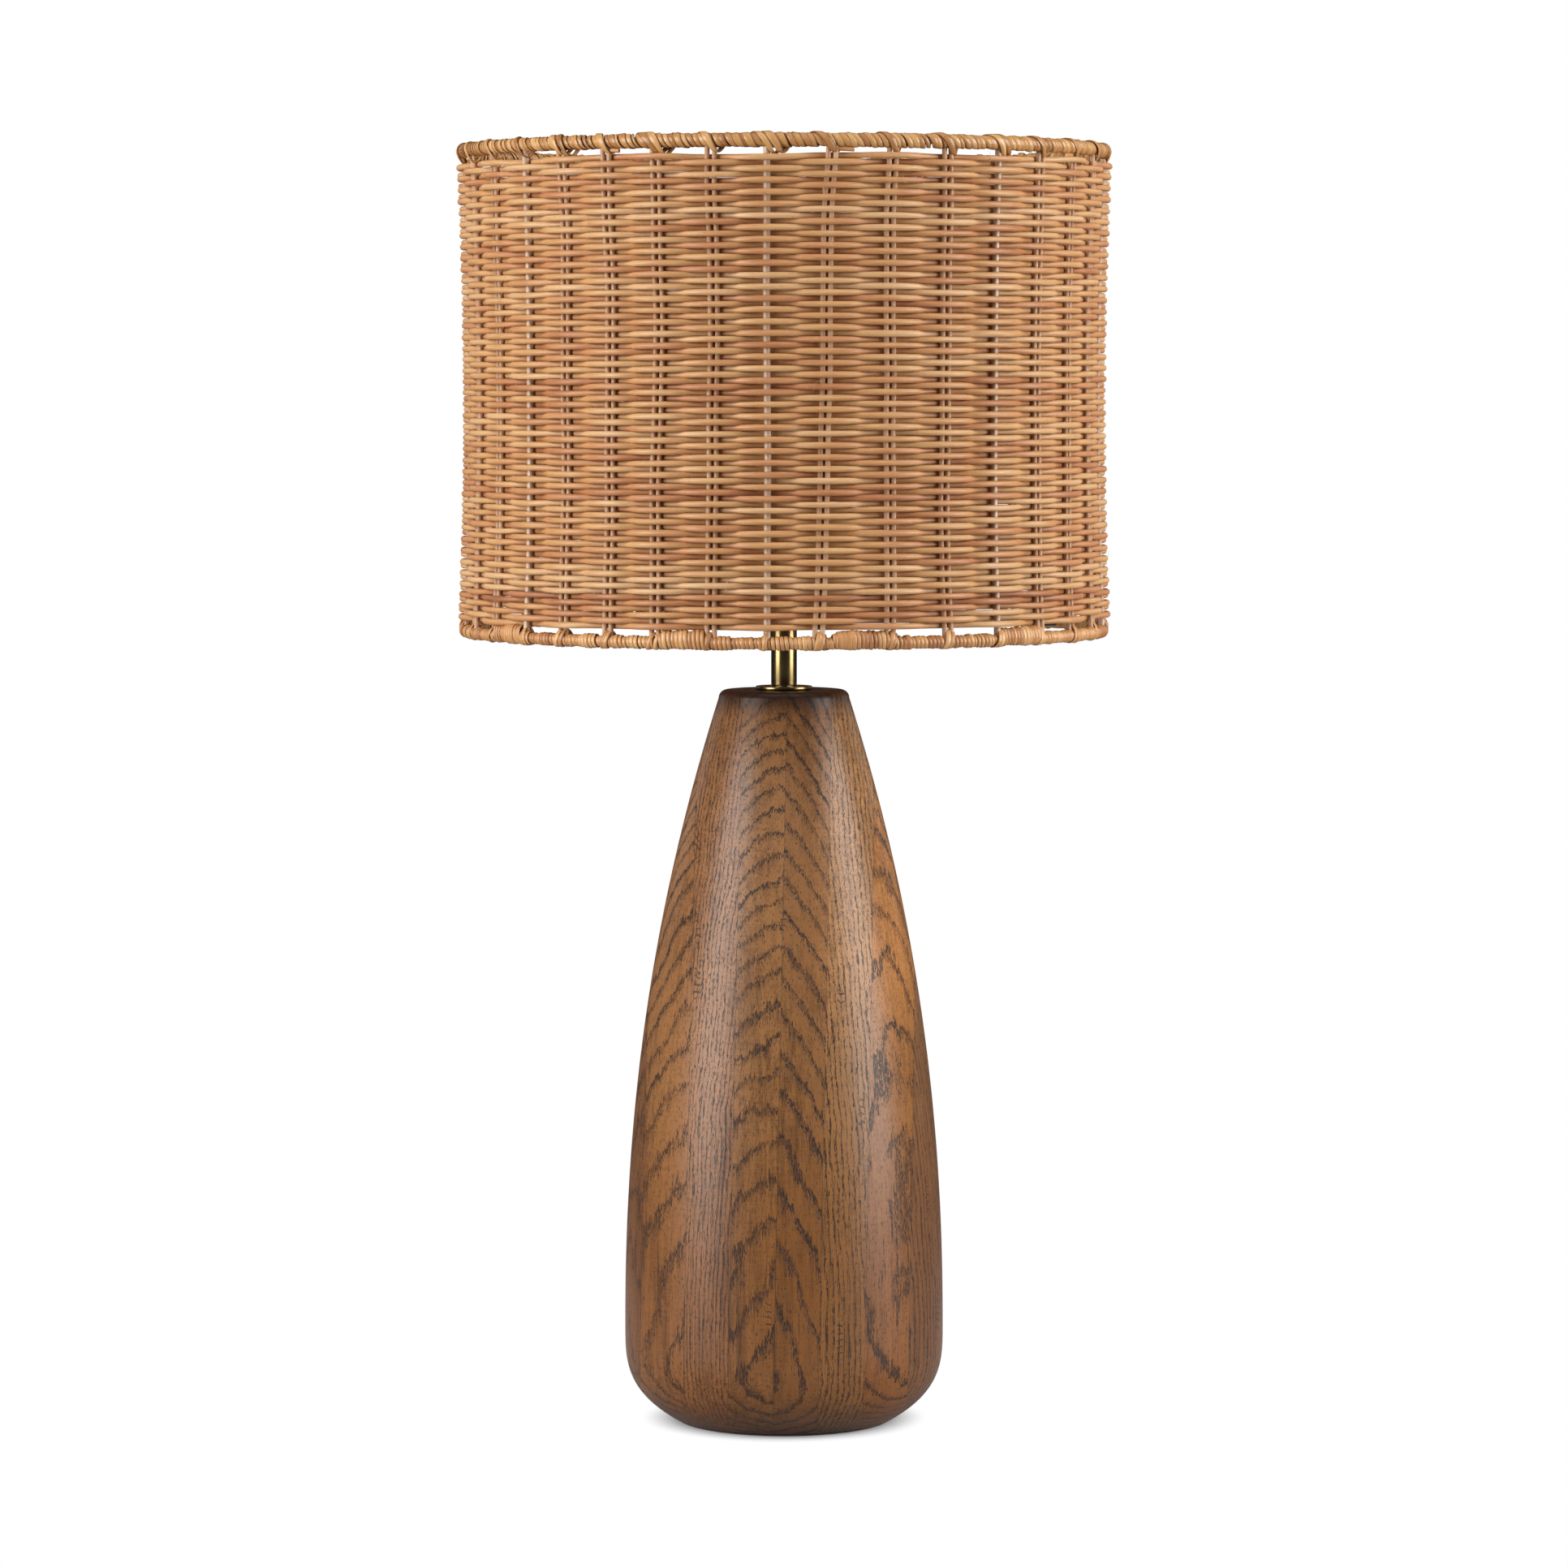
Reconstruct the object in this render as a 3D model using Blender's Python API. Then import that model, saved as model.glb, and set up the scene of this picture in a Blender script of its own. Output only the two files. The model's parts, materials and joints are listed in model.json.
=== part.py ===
"""Table lamp: a turned, laminated timber base with a brass stem and lampholder, and a drum
shade of woven rattan on a steel wire frame.

Metres, +Z up. The origin is the middle of the felt pad's underside, where the lamp stands.
The front is -Y, and the cord leaves at the back, +Y. An azimuth turns from the front towards
+X. Each physical piece is an object of its own.
"""

import math

import bmesh
import bpy
from mathutils import Matrix

# Clearances
SEAT_GAP = 0.0003  # between pieces that rest on each other
BORE_GAP = 0.0004  # round a rod or tube in its hole

# Timber base
BASE_HEIGHT = 0.4520  # floor to the top face
BASE_FOOT_RADIUS = 0.0690  # edge of the flat underside
BASE_BELLY_RADIUS = 0.0984  # widest place
BASE_BELLY_Z = 0.0580
BASE_NECK_RADIUS = 0.0402  # just below the rounded top edge
BASE_TOP_ROUND = 0.0050
FOOT_FULLNESS = 3.3  # how quickly the foot swells out to the belly
FLANK_FULLNESS = 2.12  # how late the flank turns in towards the neck
RECESS_RADIUS = 0.0450
RECESS_DEPTH = 0.0300
FELT_THICKNESS = 0.0015
FELT_INSET = 0.0030  # felt pad inside the edge of the foot

# Cord bush at the back of the base
BUSH_Z = 0.0180
BUSH_RADIUS = 0.0037
BUSH_BORE_RADIUS = 0.0026
BUSH_FLANGE_RADIUS = 0.0060
BUSH_FLANGE_THICKNESS = 0.0030
BUSH_SEAT_DEPTH = 0.0055  # counterbore below the timber's surface at that height
BUSH_LENGTH = 0.0360

# Threaded tube, washer and nut that clamp the stack together
ROD_RADIUS = 0.0050
ROD_WALL = 0.0013
WASHER_RADIUS = 0.0170
WASHER_THICKNESS = 0.0020
NUT_ACROSS_FLATS = 0.0170
NUT_HEIGHT = 0.0050
ROD_BELOW_NUT = 0.0030

# Brass escutcheon and stem
ESCUTCHEON_RADIUS = 0.0173
ESCUTCHEON_THICKNESS = 0.0020
STEM_RADIUS = 0.0079
STEM_BORE_GAP = 0.0006  # round the threaded tube inside the stem
STEM_LENGTH = 0.0552

# Lampholder, of the 27 mm screw size
CAP_BOSS_RADIUS = 0.0085
CAP_BOSS_HEIGHT = 0.0030
CAP_DOME_HEIGHT = 0.0110
CAP_RADIUS = 0.0195
CAP_HEIGHT = 0.0307
CAP_FLOOR = 0.0050
CAP_FLANGE_WIDTH = 0.0045  # the shade's seat, outside the cup
CAP_FLANGE_THICKNESS = 0.0025
HOLDER_WALL = 0.0020
SKIRT_HEIGHT = 0.0397
INSERT_HEIGHT = 0.0305
INSERT_COLLAR_HEIGHT = 0.0290
SHELL_BORE_RADIUS = 0.01355
SHELL_WALL = 0.0006
SHELL_HEIGHT = 0.0247
CONTACT_RADIUS = 0.0030
CONTACT_HEIGHT = 0.0027

# Bulb, a slim candle shape that the clamp ring passes over
BULB_CAP_RADIUS = 0.0131
BULB_CAP_HEIGHT = 0.0245
BULB_TIP_RADIUS = 0.0045
BULB_TIP_HEIGHT = 0.0020
THREAD_PITCH = 0.0036
THREAD_DEPTH = 0.0011
THREAD_TURNS = 3
THREAD_START = 0.0020  # above the cap's lower edge
BULB_GLASS_RADIUS = 0.0175
BULB_GLASS_NECK_RADIUS = 0.0124
BULB_GLASS_HEIGHT = 0.0930

# Shade fitting
HUB_BORE_GAP = 0.0015  # round the lampholder's skirt
HUB_WIDTH = 0.0060
HUB_THICKNESS = 0.0032
RING_BORE_GAP = 0.0005  # round the lampholder's skirt
RING_WIDTH = 0.0065
RING_HEIGHT = 0.0072
ARM_COUNT = 3
ARM_RADIUS = 0.0020

# Shade frame
HOOP_BELOW_HUB = 0.0516  # how far the arms drop from the hub to the bottom hoop
HOOP_SPACING = 0.2910
HOOP_RADIUS = 0.1950
HOOP_WIRE_RADIUS = 0.0022
UPRIGHT_INSET = 0.0020  # the circle of struts and stakes, inside the hoops'
STRUT_RADIUS = 0.0020
FRONT_STRUT_AZIMUTH = math.radians(-2.9)
STAKES_PER_BAY = (3, 3, 4, 3, 3, 4, 3, 4)  # bays run round from the front strut towards +X
WIDE_BAY_ANGLE = math.radians(48.5)  # a bay of four stakes; the bays of three share the rest

# Rattan
STAKE_RADIUS = 0.0015
STAKE_SPACING = 0.0043  # between the two legs of a doubled stake
RIM_RADIUS = 0.0048  # the wrapped rim's section
RIM_OFFSET = 0.0002  # that section's middle, outside the hoop's wire
WALL_END_OUTSIDE = 0.0060  # the woven wall's faces, from the circle of uprights
WALL_WAIST_OUTSIDE = 0.0042
WALL_INSIDE = 0.0055
WALL_BOTTOM_GAP = 0.0010
WALL_TOP_GAP = 0.0040
CHANNEL_GAP = 0.0006  # round the wire inside a wrapped rim

SHADE_FACETS = 60
TURNED_FACETS = 48
SMALL_FACETS = 28

ROD_BORE_RADIUS = ROD_RADIUS - ROD_WALL
STEM_BORE_RADIUS = ROD_RADIUS + STEM_BORE_GAP
CAP_FLANGE_RADIUS = CAP_RADIUS + CAP_FLANGE_WIDTH
HUB_BORE_RADIUS = CAP_RADIUS + HUB_BORE_GAP
HUB_RADIUS = HUB_BORE_RADIUS + HUB_WIDTH
RING_BORE_RADIUS = CAP_RADIUS + RING_BORE_GAP
RING_RADIUS = RING_BORE_RADIUS + RING_WIDTH
UPRIGHT_RING_RADIUS = HOOP_RADIUS - UPRIGHT_INSET
WALL_END_OUTER = UPRIGHT_RING_RADIUS + WALL_END_OUTSIDE
WALL_WAIST_OUTER = UPRIGHT_RING_RADIUS + WALL_WAIST_OUTSIDE
WALL_INNER = UPRIGHT_RING_RADIUS - WALL_INSIDE
BASE_BOTTOM_Z = FELT_THICKNESS + SEAT_GAP
RECESS_TOP_Z = BASE_BOTTOM_Z + RECESS_DEPTH
WASHER_Z = RECESS_TOP_Z - SEAT_GAP - WASHER_THICKNESS
NUT_Z = WASHER_Z - SEAT_GAP - NUT_HEIGHT
ESCUTCHEON_Z = BASE_HEIGHT + SEAT_GAP
STEM_Z = ESCUTCHEON_Z + ESCUTCHEON_THICKNESS + SEAT_GAP
CAP_Z = STEM_Z + STEM_LENGTH + SEAT_GAP
CAP_TOP_Z = CAP_Z + CAP_HEIGHT
ROD_TOP_Z = CAP_Z + CAP_FLOOR
SKIRT_BORE_RADIUS = CAP_RADIUS - HOLDER_WALL
INSERT_Z = ROD_TOP_Z + SEAT_GAP
INSERT_SEAT_Z = INSERT_Z + INSERT_HEIGHT
CONTACT_Z = INSERT_SEAT_Z + SEAT_GAP
HUB_Z = CAP_TOP_Z + SEAT_GAP
BOTTOM_HOOP_Z = HUB_Z - HOOP_BELOW_HUB
TOP_HOOP_Z = BOTTOM_HOOP_Z + HOOP_SPACING
RING_Z = HUB_Z + HUB_THICKNESS + SEAT_GAP
BULB_Z = CONTACT_Z + CONTACT_HEIGHT + SEAT_GAP
BULB_GLASS_Z = BULB_Z + BULB_TIP_HEIGHT + BULB_CAP_HEIGHT + SEAT_GAP
CHANNEL_RADIUS = HOOP_WIRE_RADIUS + CHANNEL_GAP
WALL_BOTTOM_Z = BOTTOM_HOOP_Z + RIM_RADIUS + WALL_BOTTOM_GAP
WALL_TOP_Z = TOP_HOOP_Z - RIM_RADIUS - WALL_TOP_GAP
UPRIGHT_BOTTOM_Z = BOTTOM_HOOP_Z + HOOP_WIRE_RADIUS + SEAT_GAP
UPRIGHT_TOP_Z = TOP_HOOP_Z - HOOP_WIRE_RADIUS - SEAT_GAP


def clear_scene():
    for item in list(bpy.data.objects):
        bpy.data.objects.remove(item, do_unlink=True)


def make_material(name, colour, roughness, metallic=0.0, transmission=0.0):
    material = bpy.data.materials.new(name)
    material.use_nodes = True
    shader = material.node_tree.nodes["Principled BSDF"]
    shader.inputs["Base Color"].default_value = (*colour, 1.0)
    shader.inputs["Roughness"].default_value = roughness
    shader.inputs["Metallic"].default_value = metallic
    shader.inputs["Transmission Weight"].default_value = transmission
    return material


def make_materials():
    return {
        "ash_timber": make_material("ash_timber", (0.27, 0.14, 0.065), 0.42),
        "dark_felt": make_material("dark_felt", (0.02, 0.02, 0.02), 0.95),
        "aged_brass": make_material("aged_brass", (0.50, 0.36, 0.16), 0.32, 1.0),
        "zinc_steel": make_material("zinc_steel", (0.55, 0.55, 0.54), 0.38, 1.0),
        "frame_steel": make_material("frame_steel", (0.62, 0.50, 0.42), 0.45, 0.4),
        "dark_steel": make_material("dark_steel", (0.05, 0.05, 0.055), 0.45, 0.6),
        "black_plastic": make_material("black_plastic", (0.025, 0.022, 0.02), 0.45),
        "white_ceramic": make_material("white_ceramic", (0.80, 0.78, 0.73), 0.30),
        "bulb_glass": make_material("bulb_glass", (0.92, 0.90, 0.85), 0.25, 0.0, 0.8),
        "rattan": make_material("rattan", (0.56, 0.30, 0.13), 0.55),
        "rattan_peel": make_material("rattan_peel", (0.58, 0.36, 0.15), 0.42),
    }


def add_axis(name, height):
    """An empty on the vertical axis, the parent of the pieces that turn or slide together."""
    axis = bpy.data.objects.new(name, None)
    axis.location = (0.0, 0.0, height)
    bpy.context.scene.collection.objects.link(axis)
    return axis


def add_object(name, data, material, axis, place=None):
    """Link a piece and hang it on its axis; place is its matrix in the part's own frame."""
    data.materials.append(material)
    piece = bpy.data.objects.new(name, data)
    bpy.context.scene.collection.objects.link(piece)
    piece.parent = axis
    piece.matrix_parent_inverse = Matrix.Translation(-axis.location)
    piece.matrix_basis = place or Matrix.Identity(4)
    return piece


def mesh_from(name, shape):
    """Finish a bmesh as a mesh whose round stretches shade smooth."""
    bmesh.ops.recalc_face_normals(shape, faces=shape.faces[:])
    mesh = bpy.data.meshes.new(name)
    shape.to_mesh(mesh)
    shape.free()
    mesh.shade_smooth()
    mesh.set_sharp_from_angle(angle=math.radians(32.0))
    return mesh


def turned_shape(outline, facets, closed):
    """Spin an outline of (radius, height) points round Z; a closed outline makes a ring."""
    shape = bmesh.new()
    points = [shape.verts.new((radius, 0.0, height)) for radius, height in outline]
    edges = [shape.edges.new(pair) for pair in zip(points, points[1:])]
    if closed:
        edges.append(shape.edges.new((points[-1], points[0])))
    bmesh.ops.spin(
        shape,
        geom=points + edges,
        cent=(0.0, 0.0, 0.0),
        axis=(0.0, 0.0, 1.0),
        angle=math.tau,
        steps=facets,
        use_merge=True,
    )
    bmesh.ops.remove_doubles(shape, verts=shape.verts[:], dist=1e-6)
    return shape


def turned_mesh(name, outline, facets=SMALL_FACETS, closed=True):
    return mesh_from(name, turned_shape(outline, facets, closed))


def tube_outline(inner, outer, bottom, top):
    return [(inner, bottom), (outer, bottom), (outer, top), (inner, top)]


def arc(centre, radius, start, end, steps):
    """Points of (radius, height) round a centre, from one angle to another in degrees."""
    points = []
    for step in range(steps + 1):
        angle = math.radians(start + (end - start) * step / steps)
        points.append((centre[0] + radius * math.cos(angle), centre[1] + radius * math.sin(angle)))
    return points


def cut(piece, shape, name):
    """Subtract a hidden cutter from a piece."""
    cutter = bpy.data.objects.new(name, mesh_from(name, shape))
    bpy.context.scene.collection.objects.link(cutter)
    cutter.hide_render = True
    cutter.display_type = "WIRE"
    modifier = piece.modifiers.new(name, "BOOLEAN")
    modifier.operation = "DIFFERENCE"
    modifier.solver = "EXACT"
    modifier.object = cutter


def around(azimuth, radius, height):
    """The frame of a piece on the shade: X runs outwards, Y along the wall, Z up."""
    turn = Matrix.Rotation(azimuth - math.pi / 2, 4, "Z")
    return turn @ Matrix.Translation((radius, 0.0, height))


def base_radius(height):
    """The timber's radius at a height: it swells from the foot and leans in to the neck."""
    if height < BASE_BELLY_Z:
        share = (height - BASE_BOTTOM_Z) / (BASE_BELLY_Z - BASE_BOTTOM_Z)
        swell = 1.0 - (1.0 - share) ** FOOT_FULLNESS
        return BASE_FOOT_RADIUS + (BASE_BELLY_RADIUS - BASE_FOOT_RADIUS) * swell
    share = (height - BASE_BELLY_Z) / (BASE_HEIGHT - BASE_TOP_ROUND - BASE_BELLY_Z)
    return BASE_BELLY_RADIUS - (BASE_BELLY_RADIUS - BASE_NECK_RADIUS) * share**FLANK_FULLNESS


def base_outline():
    """The timber's section, from the rod's bore up the flank and back to the bore."""
    bore = ROD_RADIUS + BORE_GAP
    points = [(bore, RECESS_TOP_Z), (RECESS_RADIUS, RECESS_TOP_Z), (RECESS_RADIUS, BASE_BOTTOM_Z)]
    foot_steps = 6
    for step in range(foot_steps):
        share = (step / foot_steps) ** 1.5
        height = BASE_BOTTOM_Z + (BASE_BELLY_Z - BASE_BOTTOM_Z) * share
        points.append((base_radius(height), height))
    flank_steps = 10
    shoulder_z = BASE_HEIGHT - BASE_TOP_ROUND
    for step in range(flank_steps):
        height = BASE_BELLY_Z + (shoulder_z - BASE_BELLY_Z) * step / flank_steps
        points.append((base_radius(height), height))
    corner = (BASE_NECK_RADIUS - BASE_TOP_ROUND, shoulder_z)
    points += arc(corner, BASE_TOP_ROUND, 0, 90, 3)
    points.append((bore, BASE_HEIGHT))
    return points


def along_back(shape, start):
    """Turn a shape that was spun up Z so that it runs along +Y from a start, at the bush."""
    turn = Matrix.Translation((0.0, start, BUSH_Z)) @ Matrix.Rotation(-math.pi / 2, 4, "X")
    bmesh.ops.transform(shape, matrix=turn, verts=shape.verts[:])
    return shape


def bush_seat():
    """Where the bush's flange sits, measured along +Y from the axis."""
    return base_radius(BUSH_Z) - BUSH_SEAT_DEPTH


def make_base(axis, finish):
    timber = add_object(
        "wood_body", turned_mesh("wood_body", base_outline(), TURNED_FACETS), finish["ash_timber"], axis
    )
    hole = BUSH_RADIUS + SEAT_GAP
    counterbore = BUSH_FLANGE_RADIUS + SEAT_GAP
    past_timber = BASE_BELLY_RADIUS - bush_seat()
    start = RECESS_RADIUS / 2
    outline = [
        (0.0, 0.0),
        (hole, 0.0),
        (hole, bush_seat() - start),
        (counterbore, bush_seat() - start),
        (counterbore, bush_seat() - start + past_timber),
        (0.0, bush_seat() - start + past_timber),
    ]
    cut(timber, along_back(turned_shape(outline, 16, False), start), "bush_cutter")
    felt = [
        (0.0, 0.0),
        (BASE_FOOT_RADIUS - FELT_INSET, 0.0),
        (BASE_FOOT_RADIUS - FELT_INSET, FELT_THICKNESS),
        (0.0, FELT_THICKNESS),
    ]
    add_object("felt_pad", turned_mesh("felt_pad", felt, 40, False), finish["dark_felt"], axis)
    flange_start = BUSH_LENGTH - BUSH_FLANGE_THICKNESS
    bush = [
        (BUSH_BORE_RADIUS, 0.0),
        (BUSH_RADIUS, 0.0),
        (BUSH_RADIUS, flange_start),
        (BUSH_FLANGE_RADIUS, flange_start),
        (BUSH_FLANGE_RADIUS, BUSH_LENGTH - BUSH_FLANGE_THICKNESS / 3),
        (BUSH_FLANGE_RADIUS - BUSH_FLANGE_THICKNESS / 3, BUSH_LENGTH),
        (BUSH_BORE_RADIUS, BUSH_LENGTH),
    ]
    shape = along_back(turned_shape(bush, 16, True), bush_seat() + SEAT_GAP - flange_start)
    add_object("cord_bush", mesh_from("cord_bush", shape), finish["black_plastic"], axis)


def nut_mesh():
    """A hexagonal nut with a round bore."""
    bore = ROD_RADIUS + SEAT_GAP
    corner = NUT_ACROSS_FLATS / math.sqrt(3.0)
    shape = bmesh.new()
    loops = []
    for radius, sides in ((bore, 18), (corner, 6)):
        ring = bmesh.ops.create_circle(shape, segments=sides, radius=radius)["verts"]
        loops.append(list({edge for vert in ring for edge in vert.link_edges}))
    floor = bmesh.ops.triangle_fill(shape, edges=loops[0] + loops[1], use_beauty=True)
    faces = [item for item in floor["geom"] if isinstance(item, bmesh.types.BMFace)]
    raised = bmesh.ops.extrude_face_region(shape, geom=faces, use_keep_orig=True)
    verts = [item for item in raised["geom"] if isinstance(item, bmesh.types.BMVert)]
    bmesh.ops.translate(shape, vec=(0.0, 0.0, NUT_HEIGHT), verts=verts)
    bmesh.ops.translate(shape, vec=(0.0, 0.0, NUT_Z), verts=shape.verts[:])
    return mesh_from("bottom_nut", shape)


def make_stack(axis, finish):
    """The threaded tube and what it clamps, from the nut below to the stem above."""
    rod_bottom = NUT_Z - ROD_BELOW_NUT
    washer_top = WASHER_Z + WASHER_THICKNESS
    disc_top = ESCUTCHEON_Z + ESCUTCHEON_THICKNESS
    stem_top = STEM_Z + STEM_LENGTH
    bore = ROD_RADIUS + SEAT_GAP
    pieces = (
        ("threaded_tube", tube_outline(ROD_BORE_RADIUS, ROD_RADIUS, rod_bottom, ROD_TOP_Z), "zinc_steel"),
        ("bottom_washer", tube_outline(bore, WASHER_RADIUS, WASHER_Z, washer_top), "zinc_steel"),
        ("escutcheon_disc", tube_outline(bore, ESCUTCHEON_RADIUS, ESCUTCHEON_Z, disc_top), "aged_brass"),
        ("stem_tube", tube_outline(STEM_BORE_RADIUS, STEM_RADIUS, STEM_Z, stem_top), "aged_brass"),
    )
    for name, outline, material in pieces:
        add_object(name, turned_mesh(name, outline), finish[material], axis)
    add_object("bottom_nut", nut_mesh(), finish["zinc_steel"], axis)


def cap_outline():
    """The lampholder's cup: a boss on the stem, a dome, a wall and the flange for the shade."""
    bore = ROD_RADIUS + SEAT_GAP
    floor_z = CAP_Z + CAP_FLOOR
    dome_z = CAP_Z + CAP_BOSS_HEIGHT + CAP_DOME_HEIGHT
    points = [(bore, CAP_Z), (CAP_BOSS_RADIUS, CAP_Z), (CAP_BOSS_RADIUS, CAP_Z + CAP_BOSS_HEIGHT)]
    for step in range(1, 5):
        angle = math.radians(-90.0 + 90.0 * step / 4)
        radius = CAP_BOSS_RADIUS + (CAP_RADIUS - CAP_BOSS_RADIUS) * math.cos(angle)
        points.append((radius, dome_z + CAP_DOME_HEIGHT * math.sin(angle)))
    points += [
        (CAP_RADIUS, CAP_TOP_Z - CAP_FLANGE_THICKNESS),
        (CAP_FLANGE_RADIUS, CAP_TOP_Z - CAP_FLANGE_THICKNESS),
        (CAP_FLANGE_RADIUS, CAP_TOP_Z),
        (SKIRT_BORE_RADIUS, CAP_TOP_Z),
        (SKIRT_BORE_RADIUS, dome_z),
        (ROD_RADIUS + HOLDER_WALL + SEAT_GAP, floor_z),
        (bore, floor_z),
    ]
    return points


def insert_outline():
    """The ceramic block that carries the contacts, narrow below and cupped above."""
    body = SKIRT_BORE_RADIUS - SEAT_GAP
    nose = ROD_RADIUS + HOLDER_WALL - SEAT_GAP
    cup = SHELL_BORE_RADIUS + SHELL_WALL + SEAT_GAP
    taper_z = CAP_Z + CAP_BOSS_HEIGHT + CAP_DOME_HEIGHT + SEAT_GAP
    top = INSERT_SEAT_Z + INSERT_COLLAR_HEIGHT
    return [
        (0.0, INSERT_Z),
        (nose, INSERT_Z),
        (body, taper_z),
        (body, top),
        (cup, top),
        (cup, INSERT_SEAT_Z),
        (0.0, INSERT_SEAT_Z),
    ]


def make_lampholder(axis, finish):
    add_object("holder_cap", turned_mesh("holder_cap", cap_outline()), finish["aged_brass"], axis)
    insert = turned_mesh("holder_insert", insert_outline(), SMALL_FACETS, False)
    add_object("holder_insert", insert, finish["white_ceramic"], axis)
    shell_outer = SHELL_BORE_RADIUS + SHELL_WALL
    shell = tube_outline(SHELL_BORE_RADIUS, shell_outer, CONTACT_Z, CONTACT_Z + SHELL_HEIGHT)
    add_object("screw_shell", turned_mesh("screw_shell", shell), finish["aged_brass"], axis)
    contact = [
        (0.0, CONTACT_Z),
        (CONTACT_RADIUS, CONTACT_Z),
        (CONTACT_RADIUS * 0.7, CONTACT_Z + CONTACT_HEIGHT),
        (0.0, CONTACT_Z + CONTACT_HEIGHT),
    ]
    tongue = turned_mesh("centre_contact", contact, 12, False)
    add_object("centre_contact", tongue, finish["aged_brass"], axis)
    skirt = tube_outline(SKIRT_BORE_RADIUS, CAP_RADIUS, HUB_Z, HUB_Z + SKIRT_HEIGHT)
    add_object("holder_skirt", turned_mesh("holder_skirt", skirt), finish["aged_brass"], axis)


def make_clamp_ring(axis, finish):
    """The internally threaded ring that holds the shade's hub down on the cap's flange."""
    edge = RING_HEIGHT / 5
    outline = [
        (RING_BORE_RADIUS, RING_Z),
        (RING_RADIUS - edge, RING_Z),
        (RING_RADIUS, RING_Z + edge),
        (RING_RADIUS, RING_Z + RING_HEIGHT - edge),
        (RING_RADIUS - edge, RING_Z + RING_HEIGHT),
        (RING_BORE_RADIUS, RING_Z + RING_HEIGHT),
    ]
    add_object("clamp_ring", turned_mesh("clamp_ring", outline), finish["aged_brass"], axis)


def bulb_cap_outline():
    """The bulb's screw cap: a tip contact below turns of rolled thread and a plain collar."""
    bottom = BULB_Z + BULB_TIP_HEIGHT
    top = bottom + BULB_CAP_HEIGHT
    root = BULB_CAP_RADIUS - THREAD_DEPTH
    points = [(0.0, BULB_Z), (BULB_TIP_RADIUS, BULB_Z), (BULB_CAP_RADIUS * 0.7, bottom)]
    for turn in range(THREAD_TURNS):
        start = bottom + THREAD_START + THREAD_PITCH * turn
        points += [(root, start), (BULB_CAP_RADIUS, start + THREAD_PITCH / 2)]
    points += [(root, bottom + THREAD_START + THREAD_PITCH * THREAD_TURNS), (root, top), (0.0, top)]
    return points


def bulb_glass_outline():
    """A flame shape: the neck swells to the belly, which tapers to a rounded tip."""
    belly_share = 0.35
    steps = 11
    points = [(0.0, BULB_GLASS_Z)]
    for step in range(steps):
        share = step / steps
        if share < belly_share:
            swell = math.sin(math.pi / 2 * share / belly_share)
            radius = BULB_GLASS_NECK_RADIUS + (BULB_GLASS_RADIUS - BULB_GLASS_NECK_RADIUS) * swell
        else:
            fall = (share - belly_share) / (1.0 - belly_share)
            radius = BULB_GLASS_RADIUS * math.sqrt(1.0 - fall**1.9)
        points.append((radius, BULB_GLASS_Z + BULB_GLASS_HEIGHT * share))
    points.append((0.0, BULB_GLASS_Z + BULB_GLASS_HEIGHT))
    return points


def make_bulb(axis, finish):
    cap = turned_mesh("bulb_cap", bulb_cap_outline(), 24, False)
    add_object("bulb_cap", cap, finish["zinc_steel"], axis)
    glass = turned_mesh("bulb_glass", bulb_glass_outline(), 24, False)
    add_object("bulb_glass", glass, finish["bulb_glass"], axis)


def upright_azimuths():
    """Where the struts and the doubled stakes stand: (strut azimuths, stake azimuths)."""
    wide = max(STAKES_PER_BAY)
    wide_bays = STAKES_PER_BAY.count(wide)
    narrow_angle = (math.tau - wide_bays * WIDE_BAY_ANGLE) / (len(STAKES_PER_BAY) - wide_bays)
    struts, stakes = [], []
    azimuth = FRONT_STRUT_AZIMUTH
    for count in STAKES_PER_BAY:
        struts.append(azimuth)
        bay = WIDE_BAY_ANGLE if count == wide else narrow_angle
        stakes += [azimuth + bay * (place + 1) / (count + 1) for place in range(count)]
        azimuth += bay
    return struts, stakes


def hoop_mesh(name, height):
    outline = arc((HOOP_RADIUS, height), HOOP_WIRE_RADIUS, 0, 300, 5)
    return turned_mesh(name, outline, SHADE_FACETS)


def rim_outline(height, towards_wall):
    """The wrapped rim's section, a hook over the wire that leaves the uprights their way in.

    It is drawn for the top rim, with its outer lip hanging down past the wire and its inner
    edge ending just above the uprights; towards_wall of 1 turns it over for the bottom rim.
    """
    centre = HOOP_RADIUS + RIM_OFFSET
    lip_angle = math.degrees(math.acos((CHANNEL_RADIUS - RIM_OFFSET) / RIM_RADIUS))
    edge_angle = math.degrees(math.asin(HOOP_WIRE_RADIUS / RIM_RADIUS))
    points = arc((centre, 0.0), RIM_RADIUS, -lip_angle, 180 + edge_angle, 8)
    points.append((HOOP_RADIUS - CHANNEL_RADIUS, -HOOP_WIRE_RADIUS))
    points += arc((HOOP_RADIUS, 0.0), CHANNEL_RADIUS, 180, 0, 3)
    return [(radius, height - towards_wall * rise) for radius, rise in points]


def arm_points():
    """An arm in its own radial plane: out of the hub, down the slope and into the hoop."""
    hub_z = HUB_Z + HUB_THICKNESS / 2
    start = HUB_RADIUS + SEAT_GAP
    end = HOOP_RADIUS - HOOP_WIRE_RADIUS - SEAT_GAP
    level = 0.0100
    return [
        (start, hub_z),
        (start + level, hub_z),
        (end - level * 1.6, BOTTOM_HOOP_Z),
        (end, BOTTOM_HOOP_Z),
    ]


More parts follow.
